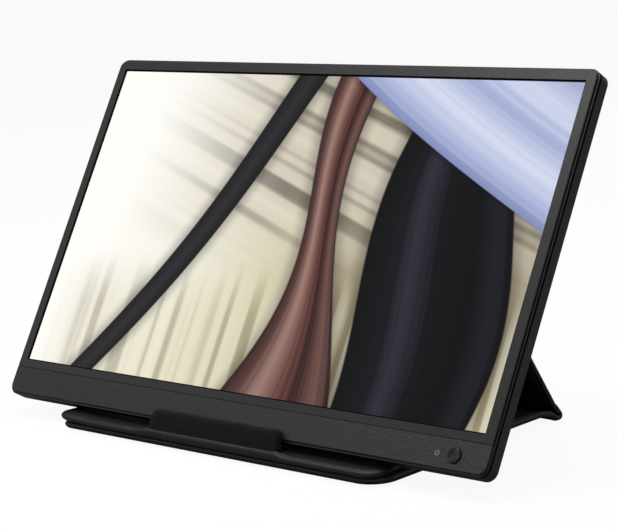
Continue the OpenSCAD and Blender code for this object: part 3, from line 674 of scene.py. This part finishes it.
def spun_metal(name):
    """Turned and dark anodised aluminium: marks round the centre fan the light into two wedges."""
    finish, tree, shader = new_finish(name, **{"Metallic": 1.0, "Anisotropic": 0.95,
                                               "Anisotropic Rotation": 0.25})
    tangent = add(tree, "ShaderNodeTangent", direction_type="UV_MAP", uv_map="round").outputs["Tangent"]
    tree.links.new(tangent, shader.inputs["Tangent"])
    round_the_face = add(tree, "ShaderNodeUVMap", uv_map="round").outputs["UV"]
    radius = add(tree, "ShaderNodeSeparateXYZ", {"Vector": round_the_face}).outputs["Y"]
    marks = streaks(tree, radius, 60.0, 3.0)
    vary(tree, shader, "Roughness", marks, 0.18, 0.28)
    tint(tree, shader, marks, linear("#28282a"), linear("#4c4c50"))
    return finish


def power_symbol(name, centre, size, line, arc_steps=28):
    """The usual power sign: an open ring with a bar in its gap, a print of almost no thickness."""
    radius = size / 2 - line / 2
    inner, outer = radius - line / 2, radius + line / 2
    lift = 0.03 * MM
    verts, faces = [], []
    gap = math.radians(38)
    bar_top, bar_foot = radius * 1.25, radius * 0.15
    angles = [math.pi / 2 + gap + (math.tau - 2 * gap) * k / arc_steps for k in range(arc_steps + 1)]

    def strip(pairs):
        """A flat bar through pairs of points, one on each of its sides."""
        first = len(verts)
        for pair in pairs:
            for x, y in pair:
                verts.append(centre + Vector((x, y, -lift)))
                verts.append(centre + Vector((x, y, lift)))
        for k in range(len(pairs) - 1):
            a = first + 4 * k
            faces.extend([(a + 1, a + 5, a + 7, a + 3), (a, a + 2, a + 6, a + 4),
                          (a, a + 4, a + 5, a + 1), (a + 2, a + 3, a + 7, a + 6)])
        end = first + 4 * (len(pairs) - 1)
        faces.extend([(first, first + 1, first + 3, first + 2), (end, end + 2, end + 3, end + 1)])

    strip([[(r * math.cos(a), r * math.sin(a)) for r in (inner, outer)] for a in angles])
    strip([[(x, y) for x in (line / 2, -line / 2)] for y in (bar_top, bar_foot)])
    return outward(new_piece(name, verts, faces, CASE, smooth=False))


class OBJECT_OT_cover_leaves(bpy.types.Operator):
    """Leather skins and linings of the base, foot, prop and head leaves"""
    bl_idname = "object.cover_leaves"
    bl_label = "Cover leaves"

    def execute(self, context):
        sizes, colours = context.scene.cover_sizes, context.scene.monitor_colours
        skin_finish = leather("polyurethane_leather", colours.leather, sizes.grain)
        for body, (place, radii) in LEAVES.items():
            skin = leaf_piece(body + "_leaf_leather", body, place, radii, skin_profile(LEAF_T, sizes))
            dress(skin, skin_finish, body)
            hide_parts(body + "_skin")
            cloth = ribbed_cloth("ribbed_polyester_" + body, colours.lining, place, sizes.rib_pitch)
            lining = leaf_piece(body + "_leaf_lining", body, place, radii, lining_profile(LEAF_T, sizes))
            dress(lining, cloth, body)
            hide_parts(body + "_lining")
        return {"FINISHED"}


LEAF_T = FOOT.extent("foot_skin")[1].z - FOOT.extent("foot_skin")[0].z
SKIN_T = FOOT.extent("foot_board")[0].z - FOOT.extent("foot_skin")[0].z
FREE_CORNER = 11 * MM
FOLD_CORNER = 1.2 * MM
FOOT_CORNER_LEFT = 6 * MM
FOOT_CORNER_RIGHT = 17 * MM
# How far the head's skin reaches past its board towards the fold
HEAD_TURN_IN = 3 * MM
LEAVES = {
    # body: its place, then the radii of its corners at the start left and right and at the end left and right
    "base": (BASE, (FREE_CORNER, FREE_CORNER, FOLD_CORNER, FOLD_CORNER)),
    "foot": (FOOT, (FOOT_CORNER_LEFT, FOOT_CORNER_RIGHT, FOLD_CORNER, FOLD_CORNER)),
    "prop": (PROP, (FOLD_CORNER, FOLD_CORNER, FOLD_CORNER, FOLD_CORNER)),
    "head": (HEAD, (FOLD_CORNER, FOLD_CORNER, FREE_CORNER, FREE_CORNER)),
}


def leaf_extent(body, place):
    """A leaf's corners, with the ridge and the web of a fold left out."""
    low, high = place.extent(body + "_skin")
    board_low = place.extent(body + "_board")[0]
    low.z = board_low.z - SKIN_T
    high.z = low.z + LEAF_T
    if body == "head":
        low.y = board_low.y - HEAD_TURN_IN
    return low, high


def ease(share):
    """0 to 1 with soft ends."""
    share = min(1.0, max(0.0, share))
    return share * share * (3 - 2 * share)


def base_lift():
    """How far the base leaf rises: its rim before the stop, and its left front corner that curls a little."""
    pad_low, pad_high = BASE.extent("stop_pad")
    low = leaf_extent("base", BASE)[0]
    ridge_rise, ridge_ramp, ridge_end, ridge_fall = 1.5 * MM, 9 * MM, 6.5 * MM, 3 * MM
    curl_rise, curl_width, curl_depth = 0.9 * MM, 34 * MM, 50 * MM

    def lift(point, level):
        beside = max(pad_low.x - point.x, point.x - pad_high.x, 0.0)
        before = ease((ridge_end - (point.y - low.y)) / ridge_fall)
        ridge = ridge_rise * ease(1 - beside / ridge_ramp) * before * ease((level - low.z) / LEAF_T)
        across = (low.x + curl_width - point.x) / curl_width
        along = (low.y + curl_depth - point.y) / curl_depth
        return ridge + curl_rise * ease(across) * ease(along)

    return lift


def leaf_ring(body, place, radii, inset, height):
    """Points round a leaf, at a distance in from its edge and a height above its outer face."""
    low, high = leaf_extent(body, place)
    lift = base_lift() if body == "base" else None
    ring = outline(low, high, radii, inset)
    for p in ring:
        p.z = low.z + height + (lift(p, low.z + height) if lift else 0.0)
    return ring


def leaf_piece(name, body, place, radii, profile):
    """A closed skin through rings, each given by its distance in from the edge and its height."""
    low, high = leaf_extent(body, place)
    # No ring comes near the middle of a short leaf
    deepest = 0.42 * min(high.x - low.x, high.y - low.y)
    rings = [leaf_ring(body, place, radii, min(inset, deepest), height) for inset, height in profile]
    verts, faces = loft(rings)
    return new_piece(name, verts, faces, place)


# How far in from the edge the flat field of a leaf starts, where the leaf is large enough
FIELD = 30 * MM


def skin_profile(t, sizes):
    """Leather turned round the board: a plump rim, a seam drawn in, a narrow welt and the lining's well."""
    seam, dip, rim = sizes.seam, sizes.seam_depth, sizes.rim
    outer_face = [(FIELD, 0.0), (seam + 1.4 * MM, 0.0), (seam + 0.4 * MM, 0.1 * MM), (seam, dip * 0.6)]
    edge = [(seam - 0.3 * MM, 0.03 * t), (2.3 * MM, 0.05 * t), (1.6 * MM, 0.13 * t), (1.0 * MM, 0.25 * t),
            (0.45 * MM, 0.38 * t), (0.1 * MM, 0.52 * t), (0.0, 0.64 * t), (0.16 * MM, 0.79 * t),
            (0.5 * MM, 0.9 * t), (1.05 * MM, 0.98 * t), (1.7 * MM, t), (2.35 * MM, 0.985 * t)]
    welt = [(seam - 0.25 * MM, t - dip * 0.8), (seam, t - dip * 1.6), (seam + 0.22 * MM, t - dip * 1.2),
            (seam + 0.5 * MM, t - dip * 0.2), (rim - 0.15 * MM, t - dip * 0.1)]
    well = [(rim + 0.3 * MM, t - dip * 0.9), (rim + 0.5 * MM, t - 1.0 * MM), (rim + 2 * MM, t - 1.3 * MM),
            (FIELD, t - 1.3 * MM)]
    return outer_face + edge + welt + well


def lining_profile(t, sizes):
    """Cloth laid into the well, its edge turned under."""
    top, rim = t - 0.3 * MM, sizes.rim + 0.1 * MM
    return [(FIELD, top - 0.8 * MM), (rim + 0.6 * MM, top - 0.8 * MM), (rim + 0.1 * MM, top - 0.6 * MM),
            (rim, top - 0.4 * MM), (rim + 0.1 * MM, top - 0.15 * MM), (rim + 0.45 * MM, top - 0.02 * MM),
            (rim + 1.2 * MM, top), (rim + 8 * MM, top - 0.05 * MM), (FIELD, top)]


class OBJECT_OT_cover_folds(bpy.types.Operator):
    """Soft folds that join the leaves"""
    bl_idname = "object.cover_folds"
    bl_label = "Cover folds"

    def execute(self, context):
        sizes, colours = context.scene.cover_sizes, context.scene.monitor_colours
        finish = leather("polyurethane_leather_fold", colours.leather, sizes.grain)
        axis = joint_point("prop_fold")
        rear = rear_fold("rear_fold_leather", axis)
        dress(rear, finish)
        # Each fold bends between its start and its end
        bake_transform(rear)
        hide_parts("rear_fold_roll")
        axis = joint_point("head_fold")
        top = head_fold("head_fold_leather", axis)
        dress(top, finish)
        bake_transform(top)
        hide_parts("head_crease")
        dress_node("foot_crease", finish)
        return {"FINISHED"}


def flat(vector):
    """A direction or point without its x, as (y, z)."""
    return Vector((vector.y, vector.z))


def smooth_path(points, steps, closed=False):
    """A smooth curve through points of any size."""
    result = []
    n = len(points)
    for i in range(n if closed else n - 1):
        around = [(i + k) % n if closed else min(max(i + k, 0), n - 1) for k in (-1, 0, 1, 2)]
        p0, p1, p2, p3 = (Vector(points[k]) for k in around)
        for step in range(steps):
            t = step / steps
            result.append(0.5 * ((2 * p1) + (p2 - p0) * t + (2 * p0 - 5 * p1 + 4 * p2 - p3) * t ** 2
                                 + (3 * p1 - p0 - 3 * p2 + p3) * t ** 3))
    if not closed:
        result.append(Vector(points[-1]))
    return result


# Thickness of a fold near its side edges: millimetres in from the edge, then the share of full thickness
FOLD_EDGE = [(0.0, 0.04), (0.12, 0.36), (0.35, 0.6), (0.7, 0.8), (1.15, 0.94), (1.75, 1.0), (2.5, 0.98),
             (3.0, 0.86), (3.3, 0.8), (3.6, 0.88), (4.0, 0.93), (4.6, 0.86)]
# The fold's middle stretch: where it starts, its share of full thickness, and where no edge bulges any more
FOLD_MIDDLE, FOLD_SHARE, FOLD_CALM = 5.4 * MM, 0.86, 6.0


def fold_sheet(name, path, x0, x1, swell, ripple, columns=90):
    """Padded leather along a path of (y, z, thickness on its outer side, thickness on its inner side).

    The outer side lies to the right of the path. The side edges are half round and bulge by swell midway.
    """
    spine = smooth_path(path, 7)
    places = [(x0 + d * MM, share, d) for d, share in FOLD_EDGE]
    first, last = x0 + FOLD_MIDDLE, x1 - FOLD_MIDDLE
    places += [(first + (last - first) * k / columns, FOLD_SHARE, FOLD_CALM) for k in range(columns + 1)]
    places += [(x1 - d * MM, share, d) for d, share in reversed(FOLD_EDGE)]
    middle = (x0 + x1) / 2
    rings = []
    for x, share, inset in places:
        outer, inner = [], []
        for k, point in enumerate(spine):
            ahead, back = spine[min(k + 1, len(spine) - 1)], spine[max(k - 1, 0)]
            run = Vector((ahead[0] - back[0], ahead[1] - back[1])).normalized()
            right = Vector((run.y, -run.x))
            along = k / (len(spine) - 1)
            bulge = swell * math.sin(math.pi * along) ** 2 * max(0.0, 1 - inset / FOLD_CALM)
            side = x + math.copysign(bulge, x - middle)
            # Three slow waves of unlike length, so that no crease repeats
            creases = (math.sin(x * 230 + 1.3) + 0.7 * math.sin(x * 517 + 4 * along)
                       + 0.4 * math.sin(x * 1190 + 9 * along))
            spot = Vector((point[0], point[1])) + right * ripple * math.sin(math.pi * along) * creases
            a = spot + right * point[2] * share
            b = spot - right * point[3] * share
            outer.append(Vector((side, a.x, a.y)))
            inner.append(Vector((side, b.x, b.y)))
        rings.append(outer + inner[::-1])
    verts, faces = loft(rings)
    return outward(new_piece(name, verts, faces))


def outward(piece):
    """Turns a closed piece's faces outwards."""
    work = bmesh.new()
    work.from_mesh(piece.data)
    bmesh.ops.recalc_face_normals(work, faces=work.faces)
    work.to_mesh(piece.data)
    work.free()
    return piece


def rear_fold(name, axis):
    """The cover's rear: it slopes from the base leaf to the floor and turns up into the prop in a roll."""
    low, high = leaf_extent("base", BASE)
    centre, radius = flat(axis), axis.z
    along, out = flat(PROP.along), flat(PROP.out)
    start = leaf_extent("prop", PROP)[0].y
    half = LEAF_T / 2 - 0.1 * MM
    level = BASE.matrix.translation.z + (low.z + high.z) / 2
    bend = radius - half

    def on_bend(degrees):
        a = math.radians(degrees)
        spot = centre + Vector((math.cos(a), math.sin(a))) * bend
        return (*spot, half, min(half, bend - 0.1 * MM))

    turned = math.degrees(math.atan2(-out.y, -out.x))
    path = [(high.y - 2.6 * MM, level, half - 0.3 * MM, half - 0.5 * MM),
            (high.y - 0.4 * MM, level, half - 0.08 * MM, half - 0.3 * MM),
            (high.y + 3.0 * MM, level - 0.5 * MM, half, half - 0.2 * MM),
            (high.y + 6.6 * MM, level - 1.75 * MM, half, half - 0.3 * MM),
            (centre.x - 3.6 * MM, centre.y - 0.75 * MM, half, half - 0.4 * MM),
            on_bend(-95), on_bend(-55), on_bend(-15), on_bend(turned)]
    # It runs on up the prop and thins out inside the leaf's rim
    for reach, less in ((start * 0.6, 0.02 * MM), (start + 0.6 * MM, 0.1 * MM), (start + 2.6 * MM, 0.3 * MM)):
        spot = centre - out * bend + along * reach
        path.append((*spot, half - less, half - less - 0.2 * MM))
    return fold_sheet(name, path, low.x, high.x, 1.0 * MM, 0.06 * MM)


def head_fold(name, axis):
    """The thin bridge of leather between prop and head."""
    low, high = leaf_extent("head", HEAD)
    centre = flat(axis)
    prop_along, head_along = flat(PROP.along), flat(HEAD.along)
    reach = low.y + 1.2 * MM
    thin = 0.75 * MM
    path = [(*(centre - prop_along * reach), thin, thin), (*(centre - prop_along * reach * 0.5), thin, thin),
            (*centre, thin * 1.1, thin * 0.8), (*(centre + head_along * reach * 0.5), thin, thin),
            (*(centre + head_along * reach), thin, thin)]
    return fold_sheet(name, path, low.x + 2 * MM, high.x - 2 * MM, 0.0, 0.02 * MM)


class OBJECT_OT_stop_pad(bpy.types.Operator):
    """Soft microfibre stop in front of the monitor"""
    bl_idname = "object.stop_pad"
    bl_label = "Stop pad"

    def execute(self, context):
        colours = context.scene.monitor_colours
        pad = stop_pad("stop_pad_suede")
        dress(pad, suede("microfibre_suede", colours.suede), "base")
        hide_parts("stop_pad", "stop_bar")
        return {"FINISHED"}


def stop_pad(name, rows=90):
    """A long cushion: a soft front that slopes back, a round top and a back that leans with the screen."""
    low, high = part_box("stop_pad")
    edge = CASE.matrix.translation
    floor = low.z
    lean = SCREEN_UP.y / SCREEN_UP.z

    clear = 0.9 * MM

    def behind(z):
        """Where the pad's back may reach at a height, just clear of the screen's face."""
        return edge.y + max(0.0, z - edge.z) * lean - clear

    top = high.z - 0.1 * MM
    front = low.y + 0.3 * MM
    section = smooth_path([
        (front, floor), (front + 0.5 * MM, floor + 2.4 * MM), (front + 1.8 * MM, floor + 6.2 * MM),
        (front + 3.3 * MM, top - 1.5 * MM), (front + 4.8 * MM, top - 0.1 * MM), (behind(top) - 1.6 * MM, top),
        (behind(top - 1.3 * MM), top - 1.3 * MM), (behind(edge.z + 1 * MM), edge.z + 1 * MM),
        (behind(floor), floor + 2 * MM), (behind(floor), floor)], 5, closed=True)
    for p in section:
        p.y = max(p.y, floor)
    anchor = Vector(((front + behind(floor)) / 2, floor))
    end_round, end_size = 3.5 * MM, 0.66
    rings = []
    for k in range(rows + 1):
        x = low.x + (high.x - low.x) * (0.5 - 0.5 * math.cos(math.pi * k / rows))
        out = min(1.0, min(x - low.x, high.x - x) / end_round)
        size = end_size + (1 - end_size) * math.sqrt(max(0.0, 1 - (1 - out) ** 2))
        # The filling is not quite even along the pad
        sag = 0.12 * MM * math.sin(x * 180) + 0.08 * MM * math.sin(x * 421 + 1)
        ring = []
        for p in section:
            q = anchor + Vector(((p.x - anchor.x) * (0.8 + 0.2 * size), (p.y - anchor.y) * size))
            q.y += sag * (q.y - floor) / (top - floor)
            ring.append(Vector((x, q.x, q.y)))
        rings.append(ring)
    verts, faces = loft(rings)
    return outward(new_piece(name, verts, faces))


class OBJECT_OT_seam_stitches(bpy.types.Operator):
    """Rows of stitches beside the rims, laid by Geometry Nodes"""
    bl_idname = "object.seam_stitches"
    bl_label = "Seam stitches"

    def execute(self, context):
        sizes, colours = context.scene.cover_sizes, context.scene.monitor_colours
        thread = plain_finish("polyester_thread", colours.thread, 0.6)
        tree = stitch_tree(thread)
        # One row lies in the seam of the lined side, the other in the seam of the outer side
        levels = (LEAF_T - sizes.seam_depth * 1.3 + 0.1 * MM, sizes.seam_depth * 0.6 - 0.1 * MM)
        for body, (place, radii) in LEAVES.items():
            paths = [leaf_ring(body, place, radii, sizes.seam, level) for level in levels]
            piece = stitched(body + "_leaf_stitches", tree, paths, place, sizes)
            dress(piece, thread, body)
        return {"FINISHED"}


def stitch_tree(thread):
    """A node tree that lays stitches of even pitch along every line of its mesh."""
    tree = bpy.data.node_groups.new("seam_stitches", "GeometryNodeTree")
    face = tree.interface
    face.new_socket("Geometry", in_out="INPUT", socket_type="NodeSocketGeometry")
    for label in ("Pitch", "Length", "Width"):
        face.new_socket(label, in_out="INPUT", socket_type="NodeSocketFloat")
    face.new_socket("Geometry", in_out="OUTPUT", socket_type="NodeSocketGeometry")
    given = add(tree, "NodeGroupInput").outputs
    curve = add(tree, "GeometryNodeMeshToCurve", {"Mesh": given["Geometry"]}).outputs[0]
    spots = add(tree, "GeometryNodeCurveToPoints", {"Curve": curve, "Length": given["Pitch"]}, mode="LENGTH")
    stitch = add(tree, "GeometryNodeMeshUVSphere", {"Segments": 6, "Rings": 5, "Radius": 0.5}).outputs["Mesh"]
    form = add(tree, "ShaderNodeCombineXYZ", {"X": given["Width"], "Y": given["Width"], "Z": given["Length"]})
    laid = add(tree, "GeometryNodeInstanceOnPoints", {"Points": spots.outputs["Points"], "Instance": stitch,
                                                      "Rotation": spots.outputs["Rotation"],
                                                      "Scale": form.outputs[0]}).outputs[0]
    real = add(tree, "GeometryNodeRealizeInstances", {"Geometry": laid}).outputs[0]
    final = add(tree, "GeometryNodeSetMaterial", {"Geometry": real, "Material": thread}).outputs[0]
    add(tree, "NodeGroupOutput", {"Geometry": final})
    return tree


def stitched(name, tree, paths, place, sizes):
    """The stitches along closed paths, as one plain mesh."""
    verts, edges = [], []
    for path in paths:
        first = len(verts)
        verts += path
        edges += [(first + i, first + (i + 1) % len(path)) for i in range(len(path))]
    mesh = bpy.data.meshes.new(name)
    mesh.from_pydata([tuple(v) for v in verts], edges, [])
    mesh.transform(place.matrix)
    piece = show(name, mesh)
    modifier = piece.modifiers.new("stitches", "NODES")
    modifier.node_group = tree
    values = {"Pitch": sizes.stitch_pitch, "Length": sizes.stitch_length, "Width": sizes.stitch_width}
    for item in tree.interface.items_tree:
        if item.in_out == "INPUT" and item.name in values:
            modifier[item.identifier] = values[item.name]
    final = bake(piece, modifier)
    final.polygons.foreach_set("use_smooth", [True] * len(final.polygons))
    return piece


class OBJECT_OT_small_parts(bpy.types.Operator):
    """Finishes of the inner and small parts, which keep their modelled shape"""
    bl_idname = "object.small_parts"
    bl_label = "Small parts"

    def execute(self, context):
        for nodes, name, hex_code, *rest in SMALL_PARTS:
            finish = plain_finish(name, linear(hex_code), *rest)
            for node in nodes:
                dress_node(node, finish)
        return {"FINISHED"}


# Nodes, material, colour and roughness, then how metallic it is and the size of its grain where they differ
SMALL_PARTS = [
    (["optical_films"], "polyester_film", "#e8e8e2", 0.5),
    (["light_guide"], "clear_acrylic", "#dfe8ea", 0.15),
    (["led_strip"], "lamp_phosphor", "#e9d98c", 0.6),
    (["screen_chassis", "catch_plates"], "zinc_plated_steel", "#9ea2a6", 0.4, 1.0, 3 * MM),
    (["main_board", "button_board"], "solder_mask_board", "#1f5a3a", 0.35),
    (["usb_socket", "dome_switch"], "nickel_plated_steel", "#b4b6b8", 0.28, 1.0),
    (["display_ribbon"], "polyimide_film", "#b5792a", 0.3),
    (["power_symbol_lens"], "frosted_acrylic", "#d9dde0", 0.5),
    (["housing_screws"], "blackened_steel", "#2c2d2f", 0.4, 1.0),
    (["rubber_pads"], "moulded_rubber", "#161617", 0.8),
    (["base_board", "foot_board", "prop_board", "head_board"], "pressed_fibre_board", "#7c7263",
     0.9, 0.0, 1.5 * MM),
    (["head_magnets"], "nickel_plated_magnet", "#aeb0b2", 0.3, 1.0),
]


# From the middle of the lit picture's lower edge to the camera
CAMERA_REACH = Vector((0.7603, -0.7955, 0.2614))


class OBJECT_OT_studio_stage(bpy.types.Operator):
    """Floor, soft light and the camera at the photograph's angle"""
    bl_idname = "object.studio_stage"
    bl_label = "Studio stage"

    def execute(self, context):
        sizes = context.scene.stage_sizes
        self.floor()
        self.lamps(sizes.light)
        self.camera(context, sizes)
        return {"FINISHED"}

    def floor(self):
        """Pale matt floor, wide enough to reach the horizon, just clear of the cover's underside."""
        half = 20.0
        corners = [(-half, -half, 0), (half, -half, 0), (half, half, 0), (-half, half, 0)]
        floor = new_piece("stage_floor", corners, [(0, 1, 2, 3)], smooth=False)
        floor.location.z = -0.1 * MM
        finish = bpy.data.materials.new("matt_paper_floor")
        finish.use_nodes = True
        tree = finish.node_tree
        tree.nodes.clear()
        seen = add(tree, "ShaderNodeLightPath").outputs["Is Camera Ray"]
        # White to the camera, and grey to the light that bounces up under the cover
        tone = between(tree, seen, linear("#8c8c8c"), linear("#ffffff"))
        paper = add(tree, "ShaderNodeBsdfDiffuse", {"Color": tone}).outputs[0]
        glow = add(tree, "ShaderNodeEmission", {"Color": linear("#ffffff"), "Strength": 1.0}).outputs[0]
        share = calc(tree, "MULTIPLY", seen, 0.92)
        mixed = add(tree, "ShaderNodeMixShader", {0: share, 1: paper, 2: glow}).outputs[0]
        add(tree, "ShaderNodeOutputMaterial", {"Surface": mixed})
        floor.data.materials.append(finish)

    def lamps(self, share):
        """A key from the front right, weak fill and back light, soft light from above and a pale room."""
        lamps = [
            # name, place, aim, width, height, power in watts
            ("key", (1.2, -1.6, 1.5), (0, 0, 0.1), 1.4, 1.2, 10.0),
            ("fill", (-1.8, -1.3, 1.0), (0, 0, 0.1), 1.5, 1.5, 4.0),
            ("overhead", (-0.2, 0.3, 2.0), (0, 0, 0.1), 2.4, 1.4, 20.0),
            ("top strip", (-0.1, -0.25, 0.75), (0, 0.02, 0.2), 0.5, 0.15, 1.8),
            ("back", (1.8, 1.2, 1.0), (0.1, 0, 0.1), 1.0, 1.4, 2.5),
        ]
        for name, place, aim, width, height, power in lamps:
            light = bpy.data.lights.new("lamp_" + name.replace(" ", "_"), "AREA")
            light.shape = "RECTANGLE"
            light.size, light.size_y = width, height
            light.energy = power * share
            lamp = show(light.name, light)
            lamp.location = place
            lamp.rotation_euler = (Vector(place) - Vector(aim)).to_track_quat("Z", "Y").to_euler()
        world = bpy.data.worlds.new("studio_white")
        bpy.context.scene.world = world
        world.use_nodes = True
        tree = world.node_tree
        tree.nodes.clear()
        path = add(tree, "ShaderNodeLightPath").outputs
        seen = calc(tree, "MAXIMUM", path["Is Camera Ray"], path["Is Transmission Ray"])
        room = add(tree, "ShaderNodeBackground", {"Color": linear("#ffffff"), "Strength": 0.27}).outputs[0]
        white = add(tree, "ShaderNodeBackground", {"Color": linear("#ffffff"), "Strength": 1.0}).outputs[0]
        both = add(tree, "ShaderNodeMixShader", {0: seen, 1: room, 2: white}).outputs[0]
        add(tree, "ShaderNodeOutputWorld", {"Surface": both})

    def camera(self, context, sizes):
        """The camera stands where the edges of the lit picture in the photograph put it."""
        lit_edge = CASE.matrix @ Vector((0, CASE.extent("lcd_glass")[0].y, 0))
        stand = lit_edge + CAMERA_REACH
        data = bpy.data.cameras.new("photo_camera")
        data.lens = sizes.lens
        data.sensor_width = 36.0
        data.sensor_fit = "HORIZONTAL"
        camera = show("photo_camera", data)
        turn = Matrix.Rotation(sizes.azimuth, 4, "Z") @ Matrix.Rotation(math.pi / 2 - sizes.elevation, 4, "X")
        camera.matrix_world = Matrix.Translation(stand) @ turn @ Matrix.Rotation(sizes.roll, 4, "Z")
        context.scene.camera = camera
        context.scene.view_settings.view_transform = "Standard"


STEPS = (OBJECT_OT_studio_stage, OBJECT_OT_monitor_case, OBJECT_OT_screen_picture, OBJECT_OT_power_button,
         OBJECT_OT_small_parts, OBJECT_OT_cover_leaves, OBJECT_OT_cover_folds, OBJECT_OT_stop_pad,
         OBJECT_OT_seam_stitches)
GROUPS = {"monitor_sizes": MonitorSizes, "cover_sizes": CoverSizes, "monitor_colours": Colours,
          "stage_sizes": StageSizes}


class VIEW3D_PT_monitor(bpy.types.Panel):
    """Lists the pieces and their sizes"""
    bl_idname = "VIEW3D_PT_monitor"
    bl_label = "Portable monitor"
    bl_space_type = "VIEW_3D"
    bl_region_type = "UI"
    bl_category = "Monitor"

    def draw(self, context):
        for group in GROUPS:
            owner = getattr(context.scene, group)
            box = self.layout.box()
            for key in owner.__annotations__:
                box.prop(owner, key)
        for step in STEPS:
            self.layout.operator(step.bl_idname)


def register():
    for kind in (*GROUPS.values(), *STEPS, VIEW3D_PT_monitor):
        bpy.utils.register_class(kind)
    for name, kind in GROUPS.items():
        setattr(bpy.types.Scene, name, PointerProperty(type=kind))


def unregister():
    for name in GROUPS:
        delattr(bpy.types.Scene, name)
    for kind in reversed((*GROUPS.values(), *STEPS, VIEW3D_PT_monitor)):
        bpy.utils.unregister_class(kind)


def main():
    register()
    for step in STEPS:
        area, name = step.bl_idname.split(".")
        getattr(getattr(bpy.ops, area), name)()


if __name__ == "__main__":
    main()
